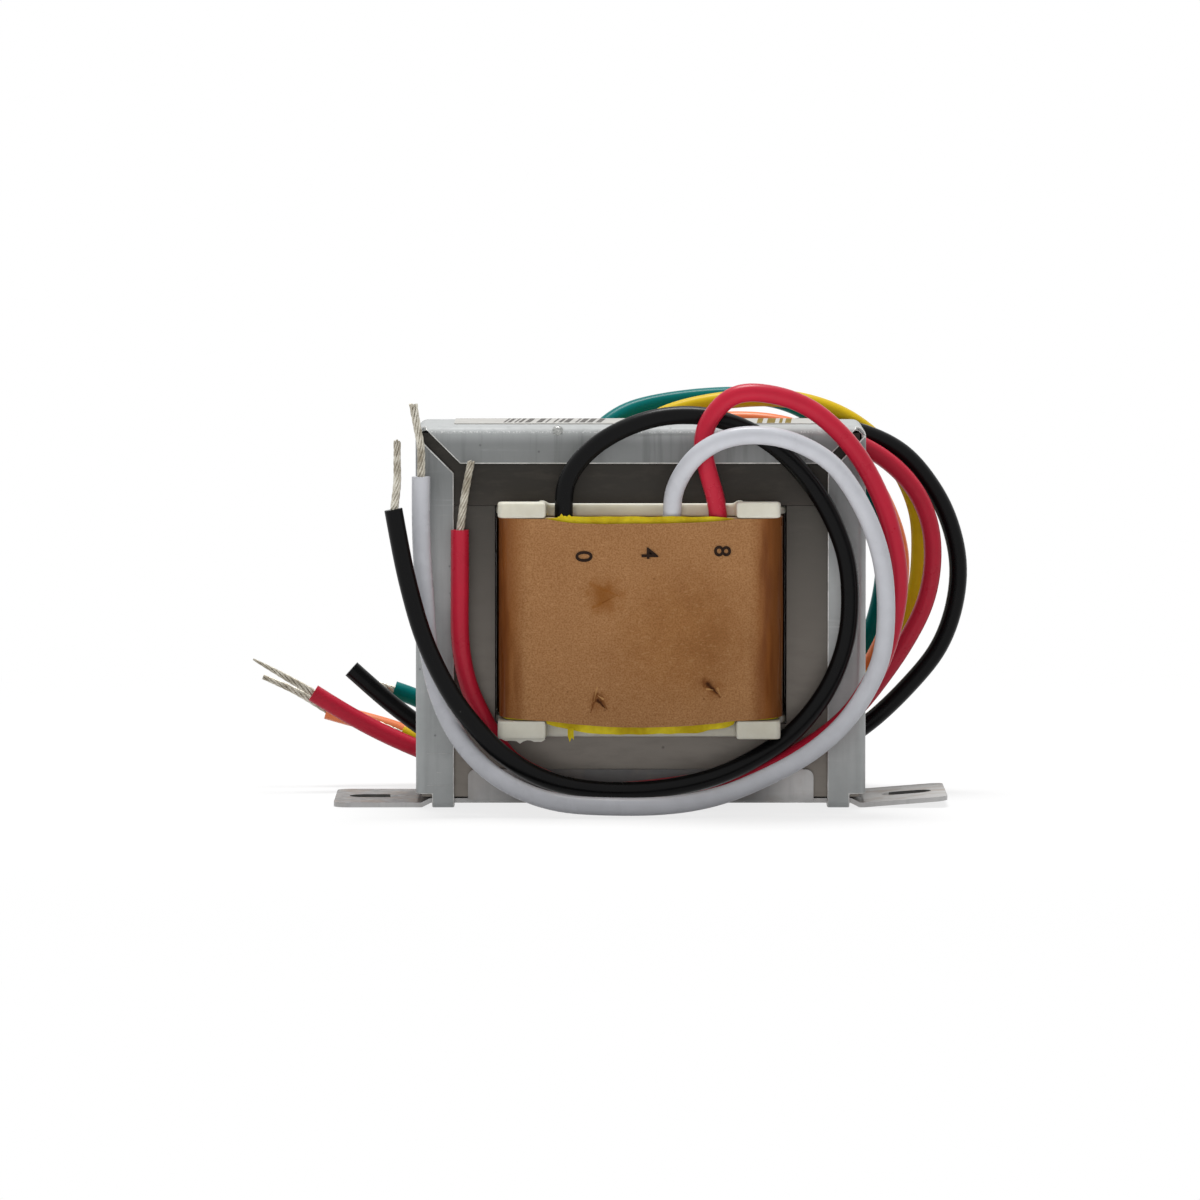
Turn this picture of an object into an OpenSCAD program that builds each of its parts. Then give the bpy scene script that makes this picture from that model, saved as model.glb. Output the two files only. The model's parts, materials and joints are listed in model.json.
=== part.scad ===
// Line transformer: EI core and bobbin in a folded channel bracket, with flying leads.
// +Z is up, the secondary leads leave at the front (-Y), and the feet rest on z = 0.

/* [Core] */
// Width of the centre leg
centre_leg = 19; // [16:0.5:22]
// Width of each side leg
side_leg = 9.5; // [7:0.5:12]
// Height of each yoke
yoke = 9.5; // [7:0.5:12]
// Width of each winding window
window_w = 9.5; // [8.5:0.1:11]
// Height of each winding window
window_h = 28.5; // [26:0.5:32]
// Thickness of the lamination stack
stack = 20; // [18:0.5:24]
// Number of lamination packets, turned alternately
packets = 8; // [2:2:16]
// Gap between neighbouring stampings
stamping_gap = 0.05; // [0.02:0.01:0.1]

/* [Sheet metal] */
// Thickness of the bracket and of the base plate
sheet_t = 0.6; // [0.4:0.05:0.8]
// Inner radius of the folds
bend_r = 0.7; // [0.4:0.05:1]
// Slack between the core's edges and the folds
core_slack = 0.015; // [0.01:0.005:0.1]

/* [Bracket] */
// Width of the flanges on the two legs
leg_flange_w = 5; // [4.5:0.1:6]
// Width of the flanges along the top
top_flange_w = 4.8; // [4:0.1:6]
// Width of the open mitre between a leg's flange and the top flange
mitre_gap = 1.45; // [0.6:0.05:2]
// Gap between the end of a leg and the base plate
leg_clear = 0.6; // [0.3:0.1:1.5]
// Width of each crimped tab
tab_w = 2.9; // [2:0.1:3.5]
// Length of each tab under the base plate
tab_l = 3; // [2:0.1:4]
// Inner radius of the crimp
crimp_r = 0.3; // [0.2:0.05:0.5]

/* [Base plate] */
// Overall length over both feet
foot_span = 80.2; // [76:0.2:90]
// Metal between a slot and the end of its foot
foot_edge = 1.85; // [1:0.05:4]
// Length of each slot
slot_l = 6.5; // [5:0.1:7.5]
// Width of each slot
slot_w = 4.2; // [3:0.1:5]
// Radius of the feet's outer corners
foot_r = 1.8; // [0.5:0.1:3]
// Length over which the plate steps down to a foot
joggle_run = 1.2; // [0.8:0.1:1.6]
// Upward bend of the right foot, in degrees
foot_tilt = 4.5; // [0:0.5:8]
// Height of the upturned flanges above the plate's underside
base_flange_h = 4.45; // [3:0.05:6]
// Radius of the upturned flanges' upper corners
base_flange_r = 1; // [0.5:0.1:1.5]
// Gap between an upturned flange and the bracket's leg flanges
base_flange_gap = 1.8; // [0.5:0.1:4]

/* [Bobbin] */
// Gap between the centre leg and the bobbin's tube
tube_gap = 0.2; // [0.1:0.05:0.4]
// Wall of the bobbin's tube
tube_wall = 1; // [0.6:0.1:1.4]
// Gap between the bobbin's flanges and the side legs
flange_gap = 0.45; // [0.3:0.05:0.9]
// Thickness of the bobbin's flanges
flange_t = 1; // [0.6:0.1:1.5]
// Gap between the bobbin and the yokes
yoke_gap = 0.1; // [0.05:0.05:0.3]
// Radius of the flanges' corners
flange_r = 0.8; // [0.3:0.1:1.5]
// Width of the recess that the leads pass through
recess_w = 24.6; // [22:0.2:28]
// Distance of the rim's front behind the padding
rim_back = 0.1; // [0.05:0.05:0.3]
// Wall of the rim round the recess
rim_t = 1; // [0.6:0.1:1.4]
// Height of the upper rim, behind the leads, above the flange
rim_h = 0.7; // [0.4:0.1:1.5]
// Height of the upper corner blocks above the flange
block_h = 1.1; // [0.5:0.1:1.5]
// Depth of the corner blocks
block_d = 2.3; // [1.5:0.1:2.6]
// Height of the lower corner blocks and of the lip between them, below the flange
lip_h = 1.35; // [0.8:0.05:1.6]

/* [Coil] */
// Radius of the tube's outer edges
tube_r = 0.8; // [0.4:0.1:1.5]
// Build of the secondary winding
secondary_build = 1.6; // [1:0.1:2]
// Thickness of the tape between the windings
inner_tape_t = 0.3; // [0.1:0.05:0.5]
// Thickness of the tape round the coil
outer_tape_t = 0.35; // [0.1:0.05:0.5]
// Thickness of the paper wrap
paper_t = 0.5; // [0.2:0.05:0.6]
// Cover of the padding over each side of a lead
lead_cover = 0.25; // [0.15:0.05:0.4]
// Radius of the padded coil's vertical edges
coil_r = 4; // [2:0.1:5]
// Clearance between the coil's layers and the bobbin's flanges
layer_gap = 0.05; // [0.02:0.01:0.2]
// Length of tape that shows above the upper flange's inner face
tape_rise = 0.3; // [0:0.05:0.6]
// Length of tape that shows below the lower flange's inner face
tape_drop = 1.6; // [0:0.1:2]
// Length of paper that hangs below the lower flange's inner face
paper_drop = 0.35; // [0:0.05:1]
// Length by which the paper stops short of the upper flange
paper_short = 0.55; // [0.1:0.05:1]

/* [Label] */
// Length of the label on the top of the bracket
label_l = 50; // [30:0.5:52]
// Width of the label
label_w = 13.5; // [8:0.5:14]
// Thickness of the label
label_t = 0.12; // [0.08:0.01:0.2]
// Sideways place of the label's centre
label_x = 0.6; // [-1:0.1:1]

/* [Leads] */
// Outer diameter of a lead
lead_d = 2.4; // [2:0.05:2.6]
// Diameter of the stripped conductor
conductor_d = 1.1; // [0.8:0.05:1.4]
// Radial clearance of a lead in the padding
lead_clear = 0.05; // [0.03:0.01:0.1]

/* [Hidden] */
$fn = 48;
cord_sides = 8;

// Core
core_w = centre_leg + 2 * window_w + 2 * side_leg;
core_h = window_h + 2 * yoke;
packet_t = stack / packets;

// Folded sheets: the core's square edges clear the inner radius of each fold
fit_gap = bend_r * (1 - 1 / sqrt(2)) + core_slack;
fold_r = bend_r + sheet_t;
core_z = 2 * sheet_t + fit_gap;
bracket_x = core_w / 2 + fit_gap + sheet_t;
bracket_y = stack / 2 + fit_gap + sheet_t;
bracket_z = core_z + core_h + fit_gap + sheet_t;
leg_in = bracket_x - leg_flange_w;
leg_end = 2 * sheet_t + leg_clear;
crimp_y = bracket_y - sheet_t - crimp_r;
plate_edge_gap = 0.02;
plate_y = crimp_y - plate_edge_gap;
joggle_gap = 0.2;
joggle_x = leg_in + tab_w + joggle_gap;
base_flange_x = leg_in - base_flange_gap;
slot_spacing = foot_span - slot_l - 2 * foot_edge;
over = 1;

// Bobbin and coil, from the tube outwards
coil_x = centre_leg / 2 + tube_gap + tube_wall;
coil_y = stack / 2 + tube_gap + tube_wall;
flange_x = centre_leg / 2 + window_w - flange_gap;
flange_y = stack / 2 + window_w - flange_gap;
coil_z0 = core_z + yoke + yoke_gap + flange_t;
coil_z1 = core_z + yoke + window_h - yoke_gap - flange_t;
padding_build = lead_d + 2 * lead_cover;
outer_builds = inner_tape_t + secondary_build + padding_build + outer_tape_t + paper_t + layer_gap;
primary_build = flange_x - coil_x - outer_builds;
to_inner_tape = primary_build;
to_secondary = to_inner_tape + inner_tape_t;
to_padding = to_secondary + secondary_build;
to_outer_tape = to_padding + padding_build;
to_paper = to_outer_tape + outer_tape_t;
to_outside = to_paper + paper_t;
recess_y = coil_y + to_padding - rim_back;

// Routes of the leads, from the padding to the cut end of the insulation.
// They are drawn for this lead seat and coil top, and stretch with the coil above their lowest height.
drawn_seat_y = 16.7;
drawn_coil_top = 38.32;
lead_low_z = 1.5;
lead_seat_y = coil_y + to_padding + padding_build / 2;
lead_stretch = (coil_z1 - lead_low_z) / (drawn_coil_top - lead_low_z);
black_secondary = [
    [-10, -16.7, 32], [-10, -16.7, 39], [-9.5, -16, 43.5], [-5.5, -15.5, 48], [1, -15, 51],
    [7.5, -15, 51.5], [13, -15, 50], [18, -15, 47], [22.5, -15, 42], [25.5, -15, 36.5],
    [27, -15, 31], [27, -15, 24], [25.5, -15, 18.5], [23, -15, 14], [19.5, -15, 10],
    [15, -15.5, 7], [9.5, -16.5, 4.5], [2, -17.5, 3], [-6, -18.5, 3], [-12.5, -19.5, 4.5],
    [-17.5, -20.5, 7.5], [-21, -20.5, 11], [-24.5, -20.5, 15.5], [-28, -19.5, 22.5],
    [-30, -19.5, 29.5], [-31, -19, 34], [-32, -19, 39.5]];
white_secondary = [
    [4, -16.7, 32], [4, -16.7, 39], [4.5, -18, 42.5], [7, -20.5, 46.5], [11.5, -21, 49],
    [17.5, -20.5, 49], [22.5, -19.5, 47], [26, -19, 44], [29.5, -19, 38], [31.5, -19, 31],
    [31.5, -19, 22], [29.5, -19, 16.5], [26, -20, 11.5], [21, -21, 7.5], [15, -22, 4.5],
    [9.5, -23, 2.5], [3, -24, 1.5], [-5, -24.5, 1.5], [-11.5, -23.5, 2], [-18, -22, 4.5],
    [-23, -20, 9], [-26, -17.5, 14.5], [-27.5, -16, 20.5], [-28, -15, 27.5],
    [-28.5, -15, 35.5], [-28.5, -15, 43.5]];
red_secondary = [
    [10, -16.7, 32], [10, -16.7, 39], [9, -17, 43], [8, -17.5, 47], [8.5, -17.5, 50.5],
    [11.5, -17.5, 54], [15.5, -17, 54.5], [21, -16, 53], [25.5, -15.5, 49.5], [29, -15, 45],
    [32, -15, 38.5], [33.5, -15, 31], [33, -15, 25.5], [31.5, -15, 20], [28.5, -14.5, 14.5],
    [25.5, -13.5, 11], [20.5, -13.5, 7.5], [14.5, -13, 5], [7, -13, 3.5], [-1, -13, 2.5],
    [-8, -13, 2.5], [-13.5, -13, 4.5], [-17.5, -13, 7], [-20.5, -13, 12], [-22.5, -13, 16.5],
    [-23.5, -13.5, 22], [-23.5, -13.5, 29], [-23.5, -13.5, 36.5]];
green_primary = [
    [-9.5, 16.7, 32], [-9.5, 16.7, 39], [-9, 18.5, 43], [-6.5, 20.5, 46.5], [-3, 23, 49.5],
    [1.5, 25, 51], [9, 25.5, 52], [16.5, 25.5, 52], [21.5, 25.5, 50.5], [26, 25.5, 47.5],
    [29.5, 25.5, 43], [32, 25.5, 37], [33, 25.5, 30], [32, 25.5, 23], [29.5, 25.5, 16.5],
    [25.5, 25.5, 10.5], [20.5, 25.5, 5.5], [14, 25.5, 2.5], [6, 25.5, 1.5], [-2, 25.5, 1.5],
    [-10, 25.5, 1.5], [-16, 25.5, 2.5], [-21, 25.5, 5], [-25, 25.5, 8], [-29, 25.5, 11],
    [-33, 25.5, 12.5]];
yellow_primary = [
    [-5, 16.7, 32], [-5, 16.7, 39], [-4, 17.5, 43], [-1, 19, 47], [2.5, 19.5, 49.5],
    [7, 20, 51], [13.5, 20, 52], [19.5, 20, 52], [25.5, 20, 50.5], [30.5, 20, 47.5],
    [34.5, 20, 43], [37, 20, 37.5], [37.5, 20, 32.5], [37, 20, 26], [34.5, 20, 19.5],
    [31, 20, 14.5], [27, 20, 10], [21.5, 20, 5], [16, 20, 2.5], [9, 20, 1.5], [1, 20, 1.5],
    [-7, 20, 1.5], [-14, 20, 1.5], [-21, 20, 2.5], [-26.5, 20, 4.5], [-32, 20, 7]];
orange_primary = [
    [-0.5, 16.7, 32], [-0.5, 16.7, 39], [1, 18.5, 43], [4, 20, 46.5], [8.5, 22, 48.5],
    [13, 22.5, 49], [19, 22.5, 48.5], [24.5, 22.5, 46.5], [29.5, 22.5, 43], [33, 22.5, 37.5],
    [35, 22.5, 31], [34.5, 22.5, 25], [32.5, 22.5, 19], [29.5, 22.5, 14], [25.5, 22.5, 9.5],
    [20, 22.5, 5], [13.5, 22.5, 2], [6, 22.5, 1.5], [-2, 22.5, 1.5], [-10, 22.5, 1.5],
    [-17, 22.5, 2], [-23, 22.5, 3.5], [-28, 22.5, 5.5], [-33, 22.5, 7.5], [-38.5, 22.5, 9],
    [-42, 22.5, 10]];
red_primary = [
    [4, 16.7, 32], [4, 16.7, 39], [5, 16, 42.5], [8, 15, 46], [12.5, 14.5, 47.5],
    [18.5, 14.5, 48], [25.5, 14.5, 47.5], [31.5, 14.5, 45], [36, 14.5, 41], [38.5, 14.5, 36],
    [39, 14.5, 30.5], [38, 14.5, 25], [35.5, 14.5, 20], [32.5, 14.5, 15.5], [28.5, 14.5, 10.5],
    [23.5, 14.5, 6.5], [18, 14.5, 3.5], [12, 14.5, 2], [4, 14.5, 1.5], [-4, 14.5, 1.5],
    [-11.5, 14.5, 1.5], [-18, 14.5, 2.5], [-24, 14.5, 3.5], [-29.5, 14.5, 5.5],
    [-35, 14.5, 8], [-39.5, 14.5, 10.5], [-43.5, 14.5, 13]];
black_primary = [
    [8.5, 16.7, 32], [8.5, 16.7, 39], [10, 17, 43], [13, 17, 46], [18.5, 17, 48],
    [24.5, 17, 48.5], [30, 17, 47.5], [35, 17, 45], [38.5, 17, 41], [41, 17, 36.5],
    [42.5, 17, 30.5], [42, 17, 24.5], [40, 17, 19], [36.5, 17, 14.5], [31.5, 17, 9.5],
    [26.5, 17, 6], [21.5, 17, 3], [15.5, 17, 1.5], [8, 17, 1.5], [0, 17, 1.5], [-8, 17, 1.5],
    [-14.5, 17, 1.5], [-20, 17, 3], [-25, 17, 5.5], [-29.5, 17, 8.5], [-34, 17, 12],
    [-38.5, 17, 16]];
routes = [black_secondary, white_secondary, red_secondary, green_primary, yellow_primary,
    orange_primary, red_primary, black_primary];

// Stripped ends, from the cut insulation to the conductor's tip
black_secondary_end = [[-31.5, -19, 43], [-31.5, -19, 46], [-31.5, -19, 48.5]];
white_secondary_end = [[-28.5, -15, 47], [-29, -15, 50], [-29.5, -15, 53]];
red_secondary_end = [[-23, -13.5, 40], [-22.5, -13.5, 43], [-22, -13.5, 45.5]];
green_primary_end = [[-36, 25.5, 13.5], [-39, 25.5, 14.5]];
yellow_primary_end = [[-35.5, 20, 8.5], [-39, 20, 10]];
orange_primary_end = [[-46, 22.5, 12.5], [-50.5, 22.5, 14.5]];
red_primary_end = [[-47, 14.5, 15], [-51.5, 14.5, 17.5]];

function unit(v) = v / norm(v);
function last(list) = list[len(list) - 1];
function tangent(p, i) = unit(p[min(i + 1, len(p) - 1)] - p[max(i - 1, 0)]);
function end_tangent(p) = tangent(p, len(p) - 1);
function fitted(p) = [for (q = p)
    [q[0], q[1] + sign(q[1]) * (lead_seat_y - drawn_seat_y), lead_low_z + (q[2] - lead_low_z) * lead_stretch]];

// Rectangle with round corners, centred on the origin
module rounded_rect(w, d, r) {
    square([w - 2 * r, d], center = true);
    square([w, d - 2 * r], center = true);
    for (x = [r - w / 2, w / 2 - r], y = [r - d / 2, d / 2 - r])
        translate([x, y]) circle(r);
}

// Rectangle with two round upper corners, its top on the x axis
module arched_rect(w, h, r) {
    translate([-w / 2, -h]) square([w, h - r]);
    translate([r - w / 2, -r]) square([w - 2 * r, r]);
    for (x = [r - w / 2, w / 2 - r])
        translate([x, -r]) circle(r);
}

// Section of a folded channel: a web on the x axis and two flanges that hang from it
module channel_section(w, flange_w) {
    difference() {
        arched_rect(w, flange_w, fold_r);
        translate([0, -sheet_t]) arched_rect(w - 2 * sheet_t, flange_w, bend_r);
    }
}

// Quarter of a fold: runs from the +x axis to the +y axis
module fold_quarter(r_in, r_out) {
    intersection() {
        difference() {
            circle(r_out);
            circle(r_in);
        }
        square(r_out + over);
    }
}

// Slot along x, centred on the origin
module slot_outline() {
    square([slot_l - slot_w, slot_w], center = true);
    for (x = [-1, 1] * (slot_l - slot_w) / 2)
        translate([x, 0]) circle(d = slot_w);
}

// Bracket's top, along x
module bracket_top() {
    rotate([90, 0, 90])
        translate([0, bracket_z, fold_r - bracket_x])
            linear_extrude(2 * (bracket_x - fold_r))
                channel_section(2 * bracket_y, top_flange_w);
}

// Bracket's right leg, along z
module bracket_leg() {
    translate([0, 0, leg_end])
        linear_extrude(bracket_z - fold_r - leg_end)
            translate([bracket_x, 0])
                rotate(-90) channel_section(2 * bracket_y, leg_flange_w);
}

// Fold between the top and the right leg, as wide as the flat of the web
module bracket_corner() {
    translate([bracket_x - fold_r, bracket_y - fold_r, bracket_z - fold_r])
        rotate([90, 0, 0])
            linear_extrude(2 * (bracket_y - fold_r))
                fold_quarter(bend_r, fold_r);
}

// Open mitre on the right: a diagonal cut through both flanges
module bracket_mitre() {
    reach = leg_flange_w + top_flange_w;
    for (side = [-1, 1])
        translate([bracket_x, side * (bracket_y - fold_r / 2 + over / 2), bracket_z])
            rotate([0, -45, 0])
                cube([2 * reach, fold_r + over, mitre_gap], center = true);
}

// Front right tab: down past the plate's edge and folded under it
module bracket_tab() {
    tab_x = leg_in + tab_w;
    outline_z = sheet_t + crimp_r;
    translate([tab_x, 0, 0]) rotate([90, 0, -90]) linear_extrude(tab_w) {
        translate([crimp_y + crimp_r, outline_z])
            square([sheet_t, leg_end - outline_z]);
        translate([crimp_y, outline_z])
            rotate(-90) fold_quarter(crimp_r, crimp_r + sheet_t);
        translate([crimp_y - tab_l, 0])
            square([tab_l, sheet_t]);
    }
}

module channel_bracket() {
    color("silver") {
        difference() {
            union() {
                bracket_top();
                for (side = [0, 1])
                    mirror([side, 0, 0]) {
                        bracket_leg();
                        bracket_corner();
                    }
            }
            for (side = [0, 1])
                mirror([side, 0, 0]) bracket_mitre();
        }
        for (side = [0, 1], end = [0, 1])
            mirror([side, 0, 0]) mirror([0, end, 0]) bracket_tab();
    }
}

// Half of the plate's profile, along +x: the plate, its step down and the foot
module plate_profile(tilt) {
    kink = sheet_t / 2 * tan(atan(sheet_t / joggle_run) / 2);
    foot_x = joggle_x + joggle_run;
    root_x = foot_x + sheet_t;
    polygon([
        [0, 2 * sheet_t], [joggle_x + kink, 2 * sheet_t], [foot_x + kink, sheet_t],
        [root_x, sheet_t], [root_x, 0], [foot_x - kink, 0], [joggle_x - kink, sheet_t],
        [0, sheet_t]]);
    translate([root_x, 0]) rotate(tilt)
        square([foot_span / 2, sheet_t]);
}

module plate_strip() {
    intersection() {
        rotate([90, 0, 0])
            linear_extrude(2 * plate_y, center = true) {
                plate_profile(foot_tilt);
                mirror([1, 0]) plate_profile(0);
            }
        linear_extrude(foot_span, center = true)
            rounded_rect(foot_span, 2 * plate_y, foot_r);
    }
}

module upturned_flanges() {
    top_z = sheet_t + base_flange_h;
    intersection() {
        rotate([90, 0, 90])
            linear_extrude(2 * base_flange_x, center = true)
                translate([0, sheet_t]) mirror([0, 1])
                    channel_section(2 * bracket_y, base_flange_h);
        translate([0, 0, top_z]) rotate([90, 0, 0])
            linear_extrude(3 * bracket_y, center = true)
                arched_rect(2 * base_flange_x, base_flange_h + over, base_flange_r);
    }
}

module base_plate() {
    color("lightgray") difference() {
        union() {
            plate_strip();
            upturned_flanges();
        }
        for (x = [-1, 1] * slot_spacing / 2)
            translate([x, 0, -over]) linear_extrude(yoke) slot_outline();
    }
}

// One packet's E, standing on its yoke
module e_outline() {
    difference() {
        translate([-core_w / 2, 0]) square([core_w, yoke + window_h]);
        for (side = [-1, 1])
            translate([side * (centre_leg + window_w) / 2 - window_w / 2, yoke])
                square([window_w, window_h + over]);
    }
}

// One packet's I, above the legs of its E
module i_outline() {
    translate([-core_w / 2, yoke + window_h + stamping_gap])
        square([core_w, yoke - stamping_gap]);
}

// Packets along y, every second one turned upside down
module packet_row() {
    for (k = [0:packets - 1])
        translate([0, (k + 1) * packet_t - stack / 2 - stamping_gap / 2, core_z + core_h / 2])
            rotate([90, 0, 0])
                linear_extrude(packet_t - stamping_gap)
                    rotate(k % 2 == 0 ? 0 : 180)
                        translate([0, -core_h / 2]) children();
}

module e_laminations() {
    color("dimgray") packet_row() e_outline();
}

module i_laminations() {
    color("gray") packet_row() i_outline();
}

// End of the bobbin: a flange, corner blocks, and a rim that steps back behind the leads
module bobbin_end(blocks, rim) {
    rim_in = recess_y - rim_t;
    block_in = flange_y - block_d;
    side_in = recess_w / 2 + rim_t;
    difference() {
        linear_extrude(flange_t + blocks) difference() {
            rounded_rect(2 * flange_x, 2 * flange_y, flange_r);
            for (side = [-1, 1])
                translate([0, side * (recess_y + flange_y)])
                    square([recess_w, 2 * flange_y], center = true);
        }
        translate([-flange_x - over, -rim_in, flange_t])
            cube([2 * (flange_x + over), 2 * rim_in, blocks + over]);
        translate([-recess_w / 2, -flange_y, flange_t + rim])
            cube([recess_w, 2 * flange_y, blocks + over]);
        for (end = [0, 1]) mirror([end, 0, 0])
            translate([side_in, -block_in, flange_t])
                cube([flange_x, 2 * block_in, blocks + over]);
    }
}

module bobbin() {
    color("ivory") difference() {
        union() {
            translate([0, 0, coil_z0 - flange_t])
                linear_extrude(coil_z1 - coil_z0 + 2 * flange_t)
                    rounded_rect(2 * coil_x, 2 * coil_y, tube_r);
            translate([0, 0, coil_z1]) bobbin_end(block_h, rim_h);
            translate([0, 0, coil_z0]) mirror([0, 0, 1]) bobbin_end(lip_h, lip_h);
        }
        cube([centre_leg + 2 * tube_gap, stack + 2 * tube_gap, 3 * core_h], center = true);
    }
}

// One layer round the tube: between two builds, each with its own edge radius
module layer(build_in, r_in, build_out, r_out, z0, z1) {
    translate([0, 0, z0]) linear_extrude(z1 - z0) difference() {
        rounded_rect(2 * (coil_x + build_out), 2 * (coil_y + build_out), r_out);
        rounded_rect(2 * (coil_x + build_in), 2 * (coil_y + build_in), r_in);
    }
}

// Front and rear faces of a layer, inside the lead recess
module recess_panels(build_in, build_out, z0, z1) {
    for (side = [0, 1]) mirror([0, side, 0])
        translate([layer_gap - recess_w / 2, coil_y + build_in, z0])
            cube([recess_w - 2 * layer_gap, build_out - build_in, z1 - z0]);
}

module primary_winding() {
    color("peru")
        layer(0, tube_r, primary_build, tube_r + primary_build, coil_z0 + layer_gap, coil_z1 - layer_gap);
}

module interwinding_tape() {
    color("gold")
        layer(to_inner_tape, tube_r + to_inner_tape, to_secondary, tube_r + to_secondary,
            coil_z0 + layer_gap, coil_z1 - layer_gap);
}

module secondary_winding() {
    color("sienna")
        layer(to_secondary, tube_r + to_secondary, to_padding, tube_r + to_padding,
            coil_z0 + layer_gap, coil_z1 - layer_gap);
}

module lead_padding() {
    color("tan") difference() {
        layer(to_padding, tube_r + to_padding, to_outer_tape, coil_r,
            coil_z0 + layer_gap, coil_z1 - layer_gap);
        for (route = routes)
            translate(fitted(route)[0]) cylinder(d = lead_d + 2 * lead_clear, h = coil_z1, $fn = cord_sides);
    }
}

module outer_tape() {
    color("khaki") {
        layer(to_outer_tape, coil_r, to_paper, coil_r + outer_tape_t,
            coil_z0 + layer_gap, coil_z1 - layer_gap);
        recess_panels(to_outer_tape, to_paper, coil_z0 - tape_drop, coil_z1 + tape_rise);
    }
}

module paper_wrap() {
    color("burlywood") {
        layer(to_paper, coil_r + outer_tape_t, to_outside, coil_r + outer_tape_t + paper_t,
            coil_z0 + layer_gap, coil_z1 - paper_short);
        recess_panels(to_paper, to_outside, coil_z0 - paper_drop, coil_z1 - paper_short);
    }
}

module label() {
    label_corner_r = 0.5;
    flat_y = bracket_y - fold_r;
    color("white")
        translate([label_x, flat_y - label_w / 2, bracket_z])
            linear_extrude(label_t) rounded_rect(label_l, label_w, label_corner_r);
}

// Round cord swept along a list of points; start is the direction of its first ring
module cord(p, d, start) {
    n = len(p);
    tangents = [for (i = [0:n - 1]) i == 0 ? start : tangent(p, i)];
    rings = [for (i = [0:n - 1])
        let (across = unit(cross([0, 1, 0], tangents[i])), up = cross(tangents[i], across))
        for (k = [0:cord_sides - 1])
            let (a = 360 * k / cord_sides)
            p[i] + d / 2 * (cos(a) * across + sin(a) * up)];
    walls = [for (i = [0:n - 2], k = [0:cord_sides - 1])
        let (a = i * cord_sides + k, b = i * cord_sides + (k + 1) % cord_sides)
        each [[a, a + cord_sides, b], [b, a + cord_sides, b + cord_sides]]];
    first_end = [for (k = [0:cord_sides - 1]) k];
    last_end = [for (k = [cord_sides - 1:-1:0]) (n - 1) * cord_sides + k];
    polyhedron(rings, concat([first_end], walls, [last_end]));
}

module lead(route) {
    path = fitted(route);
    cord(path, lead_d, tangent(path, 0));
}

module tip(route, end_points) {
    path = fitted(concat([last(route)], end_points));
    cord(path, conductor_d, end_tangent(fitted(route)));
}

module black_secondary_lead() { color("black") lead(black_secondary); }
module white_secondary_lead() { color("whitesmoke") lead(white_secondary); }
module red_secondary_lead() { color("crimson") lead(red_secondary); }
module green_primary_lead() { color("teal") lead(green_primary); }
module yellow_primary_lead() { color("gold") lead(yellow_primary); }
module orange_primary_lead() { color("coral") lead(orange_primary); }
module red_primary_lead() { color("firebrick") lead(red_primary); }
module black_primary_lead() { color("black") lead(black_primary); }

module black_secondary_tip() { color("silver") tip(black_secondary, black_secondary_end); }
module white_secondary_tip() { color("silver") tip(white_secondary, white_secondary_end); }
module red_secondary_tip() { color("silver") tip(red_secondary, red_secondary_end); }
module green_primary_tip() { color("silver") tip(green_primary, green_primary_end); }
module yellow_primary_tip() { color("silver") tip(yellow_primary, yellow_primary_end); }
module orange_primary_tip() { color("silver") tip(orange_primary, orange_primary_end); }
module red_primary_tip() { color("silver") tip(red_primary, red_primary_end); }

channel_bracket();
base_plate();
e_laminations();
i_laminations();
bobbin();
primary_winding();
interwinding_tape();
secondary_winding();
lead_padding();
outer_tape();
paper_wrap();
label();
black_secondary_lead();
white_secondary_lead();
red_secondary_lead();
green_primary_lead();
yellow_primary_lead();
orange_primary_lead();
red_primary_lead();
black_primary_lead();
black_secondary_tip();
white_secondary_tip();
red_secondary_tip();
green_primary_tip();
yellow_primary_tip();
orange_primary_tip();
red_primary_tip();
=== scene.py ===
"""Line transformer in a channel bracket: its leads, dressed pieces, finishes, light and camera."""
import json
import math
import random

import bpy
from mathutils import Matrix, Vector, noise

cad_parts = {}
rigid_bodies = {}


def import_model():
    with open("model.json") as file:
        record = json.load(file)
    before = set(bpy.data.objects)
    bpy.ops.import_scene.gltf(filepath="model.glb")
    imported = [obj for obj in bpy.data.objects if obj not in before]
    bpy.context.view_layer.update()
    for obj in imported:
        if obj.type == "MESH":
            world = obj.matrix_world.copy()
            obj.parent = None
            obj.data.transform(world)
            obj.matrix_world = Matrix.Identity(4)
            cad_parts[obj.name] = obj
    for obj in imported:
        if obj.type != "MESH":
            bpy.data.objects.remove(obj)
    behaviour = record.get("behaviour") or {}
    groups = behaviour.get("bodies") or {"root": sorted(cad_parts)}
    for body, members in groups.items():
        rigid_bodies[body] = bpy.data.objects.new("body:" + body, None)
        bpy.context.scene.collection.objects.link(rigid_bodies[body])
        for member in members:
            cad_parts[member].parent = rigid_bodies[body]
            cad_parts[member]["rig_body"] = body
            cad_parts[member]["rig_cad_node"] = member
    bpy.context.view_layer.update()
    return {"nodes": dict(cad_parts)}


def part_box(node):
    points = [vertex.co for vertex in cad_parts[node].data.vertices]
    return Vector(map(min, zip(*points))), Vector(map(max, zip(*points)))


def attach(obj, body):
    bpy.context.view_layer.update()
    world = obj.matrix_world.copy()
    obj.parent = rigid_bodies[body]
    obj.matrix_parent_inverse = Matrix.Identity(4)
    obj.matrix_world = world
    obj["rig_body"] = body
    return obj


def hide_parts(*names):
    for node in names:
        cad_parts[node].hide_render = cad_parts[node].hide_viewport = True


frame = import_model()
cad = frame["nodes"]

MM = 0.001
BODY = "root"
random.seed(57)

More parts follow.
